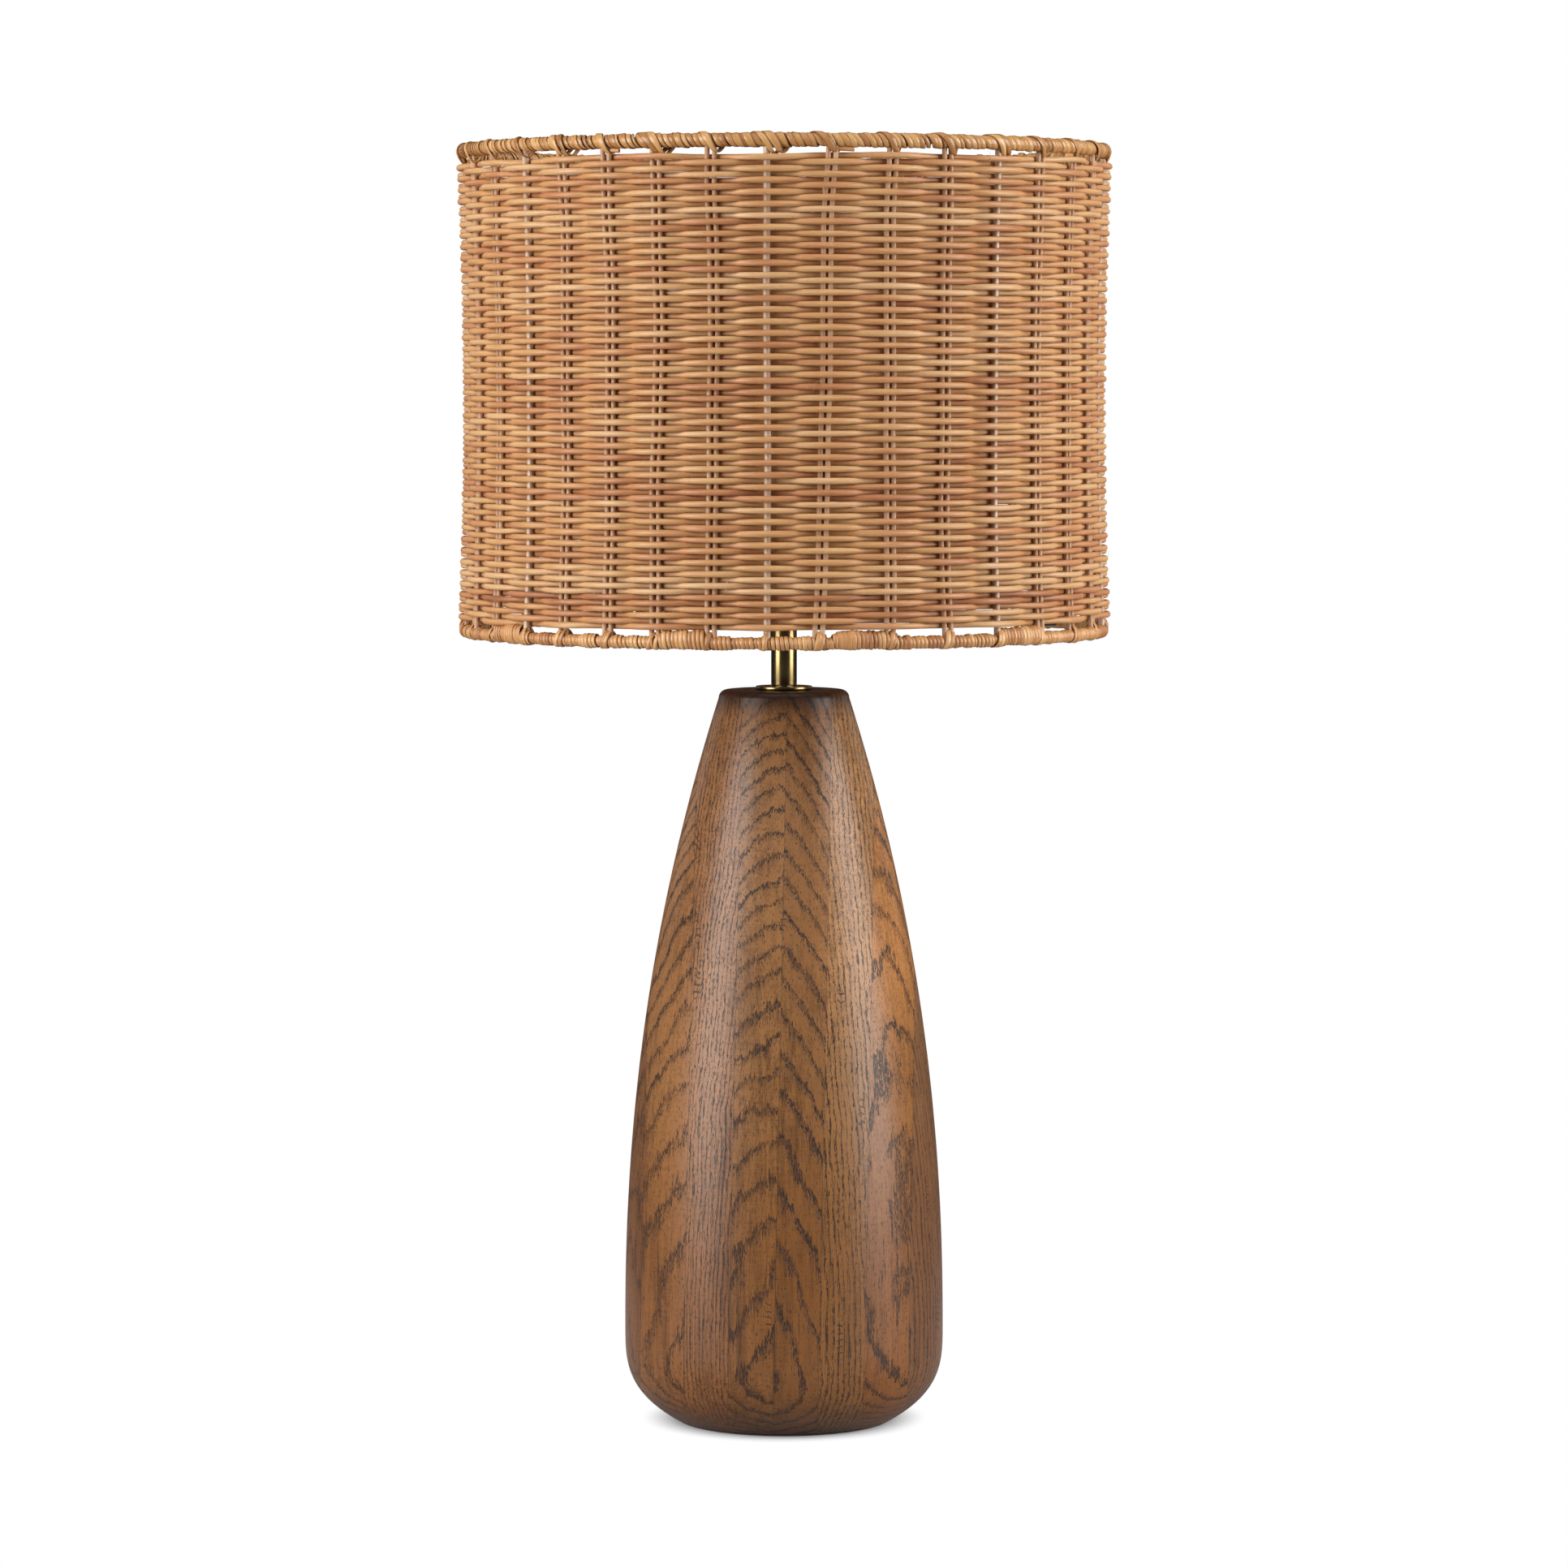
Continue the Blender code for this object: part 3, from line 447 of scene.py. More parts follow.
def woven_cane(name, stops, gloss):
    """Round core cane: tones that drift along each length, long fibres, specks and pale scuffs."""
    finish = StrandFinish(
        name, 0.44, 3.17, coat_weight=0.15 * gloss, coat_roughness=0.35, specular_ior_level=gloss
    )
    tone = finish.times(finish.own_tone(7.3), 0.90)
    tone = finish.times_plus(finish.strand_noise(11.0, 0.0), 1.15, tone)
    tone = finish.times_plus(finish.strand_noise(60.0, 260.0, 3.0, 0.6), 0.50, tone)
    colour = finish.ramp(finish.step(tone, 0.76, 1.60), stops)
    fibre = finish.strand_noise(70.0, 3600.0)
    colour = finish.tint(finish.step(fibre, 0.32, 0.68, 0.42, 0.0), colour, (0.52, 0.40, 0.30))
    speck = finish.strand_noise(300.0, 1200.0, 3.0, 0.7)
    colour = finish.mix(finish.step(speck, 0.64, 0.74, 0.0, 0.65), colour, (0.10, 0.042, 0.020))
    scuff = finish.strand_noise(210.0, 900.0, 2.0, 0.6)
    colour = finish.mix(finish.step(scuff, 0.64, 0.80, 0.0, 0.40), colour, (0.80, 0.56, 0.34))
    finish.set("Base Color", colour)
    finish.set("Roughness", finish.step(fibre, 0.2, 0.8, 0.54, 0.36))
    finish.bump(finish.times_plus(speck, -0.6, fibre), 0.45, 0.00016)
    return finish.material


def wrapped_peel(name, stops):
    """Glossy strips of cane peel: each its own tone, a fine grain and painted shade along the edges where
    strips meet.
    """
    finish = StrandFinish(name, 0.32, 2.31, coat_weight=0.15, coat_roughness=0.20)
    tone = finish.times_plus(finish.strand_noise(30.0, 0.0), 0.9, finish.own_tone(5.9))
    colour = finish.ramp(finish.step(tone, 0.65, 1.30), stops)
    grain = finish.strand_noise(60.0, 2600.0, 3.0)
    colour = finish.tint(finish.step(grain, 0.30, 0.62, 0.45, 0.0), colour, (0.50, 0.38, 0.26))
    stain = finish.strand_noise(190.0, 700.0, 3.0, 0.7)
    colour = finish.mix(finish.step(stain, 0.64, 0.78, 0.0, 0.55), colour, (0.16, 0.070, 0.028))
    # Painted shade: each strip goes darker towards its edges, in the gaps between strips
    side = finish.math("FRACT", finish.over(finish.girth, STRIP_GIRTH / 2))
    edge = finish.step(finish.size(finish.minus(side, 0.5)), 0.06, 0.22, 0.85, 0.0)
    finish.set("Base Color", finish.tint(edge, colour, (0.30, 0.19, 0.12)))
    finish.set("Roughness", finish.step(grain, 0.2, 0.8, 0.44, 0.26))
    finish.bump(grain, 0.5, 0.00018)
    return finish.material


def brushed_metal(name, colour, roughness, tarnish):
    """Metal with a fine turned grain, uneven lacquer and a little tarnish."""
    finish = Finish(name, roughness, 1.0)
    grain = finish.object_noise((300.0, 300.0, 2600.0))
    cloud = finish.object_noise((45.0, 45.0, 30.0))
    specks = finish.object_noise((700.0, 700.0, 700.0))
    dull = finish.step(cloud, 0.35, 0.75, 0.0, tarnish)
    tinted = finish.tint(dull, colour, (0.55, 0.46, 0.38))
    tinted = finish.mix(finish.step(specks, 0.70, 0.80, 0.0, tarnish), tinted, (0.10, 0.07, 0.04))
    finish.set("Base Color", tinted)
    rough = finish.step(cloud, 0.2, 0.8, roughness - 0.03, roughness + 0.04)
    finish.set("Roughness", finish.times_plus(grain, 0.04, rough))
    finish.bump(grain, 0.04, 0.00003)
    return finish.material


def frame_wire(name, colour, metallic, roughness):
    """Drawn wire with lengthwise marks and dull patches."""
    finish = Finish(name, roughness, metallic)
    drawn = finish.object_noise((2400.0, 2400.0, 40.0))
    patch = finish.object_noise((70.0, 70.0, 30.0), 3.0)
    tinted = finish.tint(finish.step(patch, 0.35, 0.70, 0.0, 0.5), colour, (0.72, 0.60, 0.52))
    marked = finish.mix(finish.step(drawn, 0.6, 0.8, 0.0, 0.4), tinted, (0.10, 0.07, 0.06))
    finish.set("Base Color", marked)
    finish.set("Roughness", finish.step(patch, 0.2, 0.8, roughness - 0.08, roughness + 0.12))
    finish.bump(drawn, 0.25, 0.00006)
    return finish.material


def moulded(name, colour, roughness, mottle):
    """Moulded plastic, glazed ceramic or opal glass with a very fine surface."""
    finish = Finish(name, roughness)
    cloud = finish.object_noise((90.0, 90.0, 90.0), 3.0)
    fine = finish.object_noise((1800.0, 1800.0, 1800.0))
    shaded = [level * 0.7 for level in colour]
    finish.set("Base Color", finish.mix(finish.step(cloud, 0.3, 0.7, 0.0, mottle), colour, shaded))
    finish.set("Roughness", finish.step(fine, 0.2, 0.8, roughness - 0.05, roughness + 0.07))
    finish.bump(fine, 0.10, 0.00004)
    return finish.material


def pressed_felt(name):
    finish = Finish(name, 0.95, sheen_weight=0.35, sheen_roughness=0.6)
    fibres = finish.object_noise((1300.0, 1300.0, 1300.0), 4.0, 0.7)
    lint = finish.object_noise((420.0, 420.0, 420.0), 3.0)
    colour = finish.mix(fibres, (0.010, 0.010, 0.011), (0.040, 0.038, 0.037))
    linty = finish.mix(finish.step(lint, 0.66, 0.80, 0.0, 0.4), colour, (0.16, 0.15, 0.14))
    finish.set("Base Color", linty)
    finish.bump(fibres, 0.7, 0.0003)
    return finish.material


def link(name, mesh, material, body, replaced=()):
    """Put a finished mesh in the scene as a piece that rides on a body."""
    mesh.materials.append(material)
    piece = bpy.data.objects.new(name, mesh)
    bpy.context.scene.collection.objects.link(piece)
    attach(piece, body)
    if replaced:
        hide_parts(*replaced)
    return piece


def mesh_of(name, shape, sharp_angle=SHARP_ANGLE):
    """Finish a bmesh: normals out, smooth where it is round."""
    bmesh.ops.recalc_face_normals(shape, faces=shape.faces[:])
    mesh = bpy.data.meshes.new(name)
    shape.to_mesh(mesh)
    shape.free()
    mesh.shade_smooth()
    mesh.set_sharp_from_angle(angle=sharp_angle)
    return mesh


def outlined(outline, closed):
    """A bmesh of an outline of (radius, height) points, with its vertices and its edges."""
    shape = bmesh.new()
    points = [shape.verts.new((radius, 0.0, height)) for radius, height in outline]
    edges = [shape.edges.new(pair) for pair in zip(points, points[1:])]
    if closed:
        edges.append(shape.edges.new((points[-1], points[0])))
    return shape, points, edges


def turned(outline, steps=96, closed=True):
    """Spin an outline of (radius, height) points round the lamp's axis."""
    shape, points, edges = outlined(outline, closed)
    spin = {"cent": (0.0, 0.0, 0.0), "axis": (0.0, 0.0, 1.0), "angle": math.tau, "steps": steps}
    bmesh.ops.spin(shape, geom=points + edges, use_merge=True, **spin)
    bmesh.ops.remove_doubles(shape, verts=shape.verts[:], dist=1e-6)
    return shape


def eased(outline, radius, closed=True):
    """Round the corners of an outline with small arcs."""
    shape, points, _ = outlined(outline, closed)
    corners = [point for point in points if len(point.link_edges) == 2]
    bmesh.ops.bevel(
        shape, geom=corners, offset=radius, segments=3, profile=0.5, affect="VERTICES", material=-1
    )
    ends = [vert for vert in shape.verts if len(vert.link_edges) == 1]
    current = ends[0] if ends else shape.verts[:][0]
    order, used = [current], set()
    while True:
        onward = [edge for edge in current.link_edges if edge not in used]
        if not onward:
            break
        used.add(onward[0])
        current = onward[0].other_vert(current)
        if current is order[0]:
            break
        order.append(current)
    outline = [(vert.co.x, vert.co.z) for vert in order]
    shape.free()
    return outline


def stands_at(node):
    """(azimuth, distance from the lamp's axis) of the middle of a CAD node."""
    low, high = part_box(node)
    middle = (low + high) / 2
    return math.atan2(middle.x, -middle.y), math.hypot(middle.x, middle.y)


def sizes(node):
    """(outer radius, lowest, highest) of a CAD node that stands on the lamp's axis."""
    low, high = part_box(node)
    return high.x, low.z, high.z


FOOT_FULLNESS = 3.3  # how quickly the flank rounds out of the foot
SHOULDER_FULLNESS = 2.12  # how long the flank stays full before it leans in


def timber_radius(timber, height, foot_z, belly_radius, shoulder_z):
    """The timber swells from the foot to the belly and leans in to the neck."""
    if height < timber.belly_height:
        share = (height - foot_z) / (timber.belly_height - foot_z)
        swell = 1.0 - (1.0 - share) ** FOOT_FULLNESS
        return timber.foot_radius + (belly_radius - timber.foot_radius) * swell
    share = (height - timber.belly_height) / (shoulder_z - timber.belly_height)
    return belly_radius - (belly_radius - timber.neck_radius) * share**SHOULDER_FULLNESS


def timber_outline(timber):
    """The section from the bore under the foot, up the flank and back to the bore."""
    belly_radius, foot_z, top_z = sizes("wood_body")
    shoulder_z = top_z - timber.top_round
    bore = sizes("threaded_tube")[0] + 0.0004
    recess_radius, recess_z = 0.0450, foot_z + 0.0300
    points = [(bore, recess_z), (recess_radius, recess_z), (recess_radius, foot_z)]
    heights = [foot_z + (timber.belly_height - foot_z) * (step / 16) ** 1.5 for step in range(16)]
    heights += [timber.belly_height + (shoulder_z - timber.belly_height) * step / 44 for step in range(44)]
    points += [
        (timber_radius(timber, height, foot_z, belly_radius, shoulder_z), height) for height in heights
    ]
    corner = timber.neck_radius - timber.top_round
    for step in range(9):
        angle = math.pi / 2 * step / 8
        points.append(
            (corner + timber.top_round * math.cos(angle), shoulder_z + timber.top_round * math.sin(angle))
        )
    points += [(corner * share, top_z) for share in (0.8, 0.5)] + [(bore, top_z)]
    return points


def bored_for_cord(mesh):
    """The timber with the counterbored hole that the cord bush sits in."""
    low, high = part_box("cord_bush")
    centre_z = (low.z + high.z) / 2
    flange = (high.z - low.z) / 2 + SEAT_GAP
    hole = flange - 0.0023
    seat = high.y - 0.0030 - SEAT_GAP
    start, end = 0.0225, 0.12  # inside the recess, and outside the flank
    outline = [(0.0, start), (hole, start), (hole, seat), (flange, seat), (flange, end), (0.0, end)]
    shape = turned(outline, 48, False)
    laid_down = Matrix.Translation((0.0, 0.0, centre_z)) @ Matrix.Rotation(-math.pi / 2, 4, "X")
    bmesh.ops.transform(shape, matrix=laid_down, verts=shape.verts[:])
    timber = bpy.data.objects.new("timber_blank", mesh)
    cutter = bpy.data.objects.new("cord_hole", mesh_of("cord_hole", shape))
    for item in (timber, cutter):
        bpy.context.scene.collection.objects.link(item)
    cut = timber.modifiers.new("cord_hole", "BOOLEAN")
    cut.operation, cut.solver, cut.object = "DIFFERENCE", "EXACT", cutter
    graph = bpy.context.evaluated_depsgraph_get()
    bored = bpy.data.meshes.new_from_object(timber.evaluated_get(graph))
    for item in (timber, cutter):
        bpy.data.objects.remove(item)
    bored.set_sharp_from_angle(angle=SHARP_ANGLE)
    return bored


def give_finish(node, material):
    """Dress a CAD node that stays in view."""
    mesh = frame["nodes"][node].data
    mesh.materials.clear()
    mesh.materials.append(material)


class LAMP_OT_timber(bpy.types.Operator):
    """Turn the laminated ash base, with its felt and the bush for the cord"""

    bl_idname = "lamp.timber"
    bl_label = "Timber base"

    def execute(self, context):
        timber = context.scene.lamp_timber
        mesh = mesh_of("timber_base", turned(timber_outline(timber), 160))
        material = finish_called("lacquered_ash", ash_timber, timber)
        link("timber_base", bored_for_cord(mesh), material, "base", ["wood_body"])
        give_finish("felt_pad", finish_called("pressed_felt", pressed_felt))
        plastic = finish_called("black_plastic", moulded, (0.022, 0.020, 0.019), 0.42, 0.4)
        give_finish("cord_bush", plastic)
        return {"FINISHED"}


def brass(metal):
    return finish_called("lacquered_brass", brushed_metal, metal.brass_colour, 0.22, 0.25)


def zinc(metal):
    return finish_called("zinc_steel", brushed_metal, metal.steel_colour, 0.34, 0.5)


def ring_piece(node, inner, material, metal, body, steps=96):
    """A smooth turned ring in the place of a CAD node."""
    outer, bottom, top = sizes(node)
    outline = eased([(inner, bottom), (outer, bottom), (outer, top), (inner, top)], metal.edge_round)
    return link("turned_" + node, mesh_of(node, turned(outline, steps)), material, body, [node])


class LAMP_OT_stem(bpy.types.Operator):
    """Turn the escutcheon disc and the stem tube, and dress the threaded tube and its nut"""

    bl_idname = "lamp.stem"
    bl_label = "Stem"

    def execute(self, context):
        metal = context.scene.lamp_metal
        bore = sizes("threaded_tube")[0] + SEAT_GAP
        ring_piece("escutcheon_disc", bore, brass(metal), metal, "base", 128)
        ring_piece("stem_tube", 0.0056, brass(metal), metal, "base")
        for node in ("threaded_tube", "bottom_washer", "bottom_nut"):
            give_finish(node, zinc(metal))
        return {"FINISHED"}


class LAMP_OT_lampholder(bpy.types.Operator):
    """Turn the lampholder's cup and skirt, and dress its insert, screw shell and contact"""

    bl_idname = "lamp.lampholder"
    bl_label = "Lampholder"

    def cup(self):
        flange, bottom, top = sizes("holder_cap")
        wall = sizes("holder_skirt")[0]
        bore = sizes("threaded_tube")[0] + SEAT_GAP
        boss, boss_z, dome_z, floor_z = 0.0085, bottom + 0.0030, bottom + 0.0140, bottom + 0.0050
        inside = wall - 0.0020
        points = [(bore, bottom), (boss, bottom)]
        for step in range(13):
            angle = math.radians(-90.0 + 90.0 * step / 12)
            points.append(
                (boss + (wall - boss) * math.cos(angle), dome_z + (dome_z - boss_z) * math.sin(angle))
            )
        points += [(wall, top - 0.0025), (flange - 0.0004, top - 0.0025), (flange, top - 0.0021)]
        points += [(flange, top - 0.0004), (flange - 0.0004, top), (inside, top), (inside, dome_z)]
        points += [(bore + 0.0020, floor_z), (bore, floor_z)]
        return mesh_of("lampholder_cup", turned(points))

    def execute(self, context):
        metal = context.scene.lamp_metal
        link("lampholder_cup", self.cup(), brass(metal), "base", ["holder_cap"])
        wall, bottom, top = sizes("holder_skirt")
        inner = wall - 0.0020
        outline = [(inner, bottom), (wall, bottom)]
        first_groove, pitch = 0.0016, 0.0022
        for turn in range(9):
            start = bottom + first_groove + pitch * turn
            outline += [(wall, start), (wall - 0.0004, start + 0.0011)]
        outline += [(wall, bottom + 0.0214), (wall, top - 0.0012), (wall - 0.0006, top), (inner, top)]
        skirt = mesh_of("lampholder_skirt", turned(outline))
        link("lampholder_skirt", skirt, brass(metal), "base", ["holder_skirt"])
        ceramic = finish_called("white_ceramic", moulded, (0.78, 0.75, 0.69), 0.26, 0.25)
        give_finish("holder_insert", ceramic)
        give_finish("screw_shell", brass(metal))
        give_finish("centre_contact", brass(metal))
        return {"FINISHED"}


class LAMP_OT_clamp_ring(bpy.types.Operator):
    """Turn the clamp ring and cut the grips in its edge"""

    bl_idname = "lamp.clamp_ring"
    bl_label = "Clamp ring"

    def execute(self, context):
        metal = context.scene.lamp_metal
        outer, bottom, top = sizes("clamp_ring")
        inner, edge, grips, grip_depth = 0.0200, 0.0012, 30.0, 0.0005
        outline = [(inner, bottom), (outer - edge, bottom), (outer, bottom + edge)]
        outline += [(outer, top - edge), (outer - edge, top), (inner, top)]
        shape = turned(outline, 120)
        for vert in shape.verts:
            reach = math.hypot(vert.co.x, vert.co.y)
            if reach > outer - edge * 1.1:
                turn = math.atan2(vert.co.y, vert.co.x)
                grip = 1.0 - grip_depth / reach * max(0.0, math.cos(turn * grips)) ** 2
                vert.co.x *= grip
                vert.co.y *= grip
        mesh = mesh_of("knurled_ring", shape, math.radians(50.0))
        link("knurled_ring", mesh, brass(metal), "clamp_ring", ["clamp_ring"])
        return {"FINISHED"}


class LAMP_OT_bulb(bpy.types.Operator):
    """Blow the opal candle bulb and dress its screw cap"""

    bl_idname = "lamp.bulb"
    bl_label = "Bulb"

    def execute(self, context):
        metal = context.scene.lamp_metal
        belly, bottom, top = sizes("bulb_glass")
        neck, belly_share, steps = 0.0124, 0.35, 40
        points = [(0.0, bottom)]
        for step in range(steps):
            share = step / steps
            if share < belly_share:
                radius = neck + (belly - neck) * math.sin(math.pi / 2 * share / belly_share)
            else:
                fall = (share - belly_share) / (1.0 - belly_share)
                radius = belly * math.sqrt(1.0 - fall**1.9)
            points.append((radius, bottom + (top - bottom) * share))
        points.append((0.0, top))
        glass = finish_called("opal_glass", moulded, (0.84, 0.82, 0.77), 0.16, 0.12)
        mesh = mesh_of("blown_bulb", turned(points, 64, False))
        link("blown_bulb", mesh, glass, "bulb", ["bulb_glass"])
        give_finish("bulb_cap", zinc(metal))
        return {"FINISHED"}


def polar(azimuth, radius, height):
    """Points on the shade as an array of X, Y and Z."""
    return np.stack([radius * np.sin(azimuth), -radius * np.cos(azimuth), height + 0.0 * azimuth], 1)


UPWARDS = np.array([0.0, 0.0, 1.0])


def unit(vectors):
    return vectors / np.linalg.norm(vectors, axis=1, keepdims=True)


def roll_strand(shape, centre, out, up, half_out, half_up, sides, number, squareness=1.0, girth=None):
    """Add one closed strand to a bmesh: a flat grid rolled round its route.

    out and up are the section's axes at each point, and half_out and half_up its half sizes.
    """
    last = len(centre) - 1
    grid = bmesh.new()
    grid.loops.layers.uv.new(STRAND_MAP)
    bmesh.ops.create_grid(grid, x_segments=last, y_segments=sides, size=0.5, calc_uvs=True)
    mesh = bpy.data.meshes.new("strand")
    grid.to_mesh(mesh)
    grid.free()
    flat = np.empty(len(mesh.vertices) * 3, np.float32)
    mesh.vertices.foreach_get("co", flat)
    flat = flat.reshape(-1, 3) + 0.5
    step = np.rint(flat[:, 0] * last).astype(int)
    turn = np.rint(flat[:, 1] * sides) % sides * (math.tau / sides)
    wide, high = np.cos(turn), np.sin(turn)
    if squareness != 1.0:
        wide = np.sign(wide) * np.abs(wide) ** squareness
        high = np.sign(high) * np.abs(high) ** squareness
    half_out, half_up = (np.broadcast_to(half, (last + 1,)) for half in (half_out, half_up))
    places = centre[step] + out[step] * (half_out[step] * wide)[:, None]
    places = places + up[step] * (half_up[step] * high)[:, None]
    mesh.vertices.foreach_set("co", places.astype(np.float32).ravel())
    travelled = np.concatenate([[0.0], np.cumsum(np.linalg.norm(np.diff(centre, axis=0), axis=1))])
    corner = np.empty(len(mesh.loops), np.int32)
    mesh.loops.foreach_get("vertex_index", corner)
    layer = mesh.uv_layers[STRAND_MAP].uv
    uv = np.empty(len(corner) * 2, np.float32)
    layer.foreach_get("vector", uv)
    uv = uv.reshape(-1, 2)
    if girth is None:
        girth = math.tau * math.sqrt(float(np.mean(half_out**2 + half_up**2)) / 2)
    uv[:, 0] = travelled[step[corner]]
    uv[:, 1] = number + 0.1 + uv[:, 1] * girth
    layer.foreach_set("vector", uv.ravel())
    shape.from_mesh(mesh)
    bpy.data.meshes.remove(mesh)


def strand_mesh(name, shape):
    """Close the seams and ends of the strands in a bmesh and make it a mesh."""
    bmesh.ops.remove_doubles(shape, verts=shape.verts[:], dist=2e-6)
    open_edges = [edge for edge in shape.edges if edge.is_boundary]
    bmesh.ops.holes_fill(shape, edges=open_edges, sides=0)
    return mesh_of(name, shape, math.radians(60.0))


def link_strands(name, shape, material, replaced=()):
    """Close the strands in a bmesh and put them in the scene as a piece of the shade."""
    return link(name, strand_mesh(name, shape), material, "shade", replaced)


def new_strands():
    shape = bmesh.new()
    shape.loops.layers.uv.new(STRAND_MAP)
    return shape


def wander(draws, count, every, amount):
    """A smooth random line of that many points, with a new knot every so many."""
    knots = draws.normal(0.0, amount, int(count / every) + 4)
    place = np.arange(count) / every
    index = place.astype(int)
    share = place - index
    share = share * share * (3.0 - 2.0 * share)
    return knots[index] * (1.0 - share) + knots[index + 1] * share


# Stakes that were set askew: how far their lower and upper ends stand off, in metres
ASKEW = {"rattan_stake_01": (-0.0066, 0.0015), "rattan_stake_02": (-0.0006, 0.0012)}
SWAY_SIZES = (1.0, 0.55, 0.25)  # the waves in an upright, against the first one
SWAY_TURNS = (0.8, 1.9, 4.3)


class Uprights:
    """Where the struts and stakes stand, how they sway, and how the wall curves."""

    def __init__(self, weave):
        self.weave = weave
        names = [name for name in frame["nodes"] if name.startswith(("frame_strut", "rattan_stake"))]
        first, self.ring = stands_at("frame_strut_1")
        found = sorted(((stands_at(name)[0] - first) % math.tau + first, name) for name in names)
        self.azimuths = np.array([azimuth for azimuth, _ in found])
        self.names = [name for _, name in found]
        self.wire = np.array([name.startswith("frame_strut") for name in self.names])
        _, self.bottom, self.top = sizes("frame_strut_1")
        draws = np.random.default_rng(weave.seed)
        self.phases = draws.uniform(0.0, math.tau, (len(names), 3))
        self.reach = draws.uniform(0.5, 1.0, (len(names), 3)) * np.array(SWAY_SIZES)
        askew = draws.normal(0.0, 0.0006, (len(names), 2)) * ~self.wire[:, None]
        for index, name in enumerate(self.names):
            askew[index] = ASKEW.get(name, askew[index])
        self.askew = askew

    def share(self, height):
        return (height - self.bottom) / (self.top - self.bottom)

    def radius(self, height):
        spread = (2.0 * self.share(height) - 1.0) ** 2
        return self.ring - self.weave.waist + (self.weave.waist + self.weave.flare) * spread

    def sway(self, index, height):
        """How far an upright has wandered from its place, as an angle."""
        share = self.share(height)
        waves = [
            self.reach[index, wave] * np.sin(share * turns * math.tau + self.phases[index, wave])
            for wave, turns in enumerate(SWAY_TURNS)
        ]
        held = np.clip(8.0 * share * (1.0 - share), 0.0, 1.0)
        stiff = np.where(self.wire[index], 0.45, 1.0)
        low, high = self.askew[index].T
        slant = low * (1.0 - share) + high * share
        return (self.weave.sway * sum(waves) * held * stiff + slant) / self.ring


# The ripples of the rows: size, waves in a turn, slant with height, and start of each
RIPPLES = (
    (1.0, 3.0, 41.0, 0.0),
    (1.0, 7.0, -93.0, 1.0),
    (0.7, 13.0, 157.0, 2.0),
    (0.6, 23.0, -260.0, 4.0),
)
LOOSE_ROWS = 3.0  # the highest rows, which the weaver packed less tightly
LOOSE_RISE = 0.0012


def weave_crossings(weave, uprights):
    """Where the one spiral cane crosses each upright: azimuth, height, offset from the wall."""
    count = len(uprights.names)
    crossing = np.arange(weave.rows * count + 1)
    row, index = np.divmod(crossing + count // 2, count)  # the cane starts at the back
    turn = crossing / count
    pitch = (weave.last_row - LOOSE_RISE - weave.first_row) / weave.rows
    loose = (np.clip(turn - (weave.rows - LOOSE_ROWS), 0.0, LOOSE_ROWS) / LOOSE_ROWS) ** 2
    height = weave.first_row + pitch * turn + LOOSE_RISE * loose
    azimuth = uprights.azimuths[index]
    swell = sum(
        size * np.sin(azimuth * waves + height * slant + start) for size, waves, slant, start in RIPPLES
    )
    draws = np.random.default_rng(weave.seed + 1)
    edge = np.clip(np.minimum(turn, weave.rows - turn) / 6.0, 0.25, 1.0)
    height = height + weave.ripple * swell * 0.5 * edge + draws.normal(0.0, 0.00010, len(crossing))
    height = height - 0.0009 * loose * (1.0 + np.sin(azimuth * 8.0 + 2.4))
    azimuth = azimuth + uprights.sway(index, height) + row * math.tau
    upright_radius = np.where(uprights.wire[index], weave.strut_radius, weave.stake_radius)
    offset = (upright_radius + weave.cane_radius * 0.97) * np.where(crossing % 2 == 0, 1.0, -1.0)
    return azimuth, height, offset + draws.normal(0.0, 0.00012, len(crossing))


def cane_ends(draws, last):
    """Crossings behind an upright where one length of cane ends and the next begins."""
    ends, shortest = [0], 40
    while ends[-1] < last:
        length = 2 * int(draws.integers(24, 37))
        end = ends[-1] + length + (1 if len(ends) == 1 else 0)
        ends.append(end if end < last - shortest else last)
    return ends


CANE_TUCK = 0.0040  # how far the end of a length is pushed inside the wall
CANE_STEPS = 8  # points from one upright to the next


def roll_cane(shape, weave, uprights, crossings, first, last, number, draws):
    """One length of weaving cane from one crossing to another, its tail tucked inside."""
    azimuths, heights, offsets = crossings
    tail = 0.7 if last < len(azimuths) - 2 else 0.0
    lead = 0.30 if first > 1 else 0.0
    count = int((last - first + tail + lead) * CANE_STEPS) + 1
    place = np.linspace(first - lead, last + tail, count)
    before = np.clip(place.astype(int), 0, len(azimuths) - 2)
    share = place - before
    eased_share = share - 0.30 * np.sin(math.tau * share) / math.tau
    blend = (1.0 - np.cos(math.pi * eased_share)) / 2
    azimuth = azimuths[before] * (1.0 - share) + azimuths[before + 1] * share
    height = heights[before] * (1.0 - blend) + heights[before + 1] * blend
    offset = offsets[before] * (1.0 - blend) + offsets[before + 1] * blend
    tuck = np.clip((place - last + 0.25) / 0.7, 0.0, 1.0) if tail else np.zeros(count)
    offset = offset - CANE_TUCK * tuck * tuck * (3.0 - 2.0 * tuck)
    centre = polar(azimuth, uprights.radius(height) + offset, height)
    along = unit(np.gradient(centre, axis=0))
    out = unit(np.cross(along, UPWARDS))
    up = np.cross(out, along)
    girth = weave.cane_radius * (draws.normal(1.0, 0.035) + wander(draws, count, 40, 0.03))
    crossing = np.abs(np.cos(math.pi * eased_share))
    half_up = girth * (0.93 + 0.07 * crossing)
    half_out = girth * 0.97
    half_up[[0, -1]] *= 0.7
    half_out[[0, -1]] *= 0.7
    roll_strand(shape, centre, out, up, half_out, half_up, 10, number)


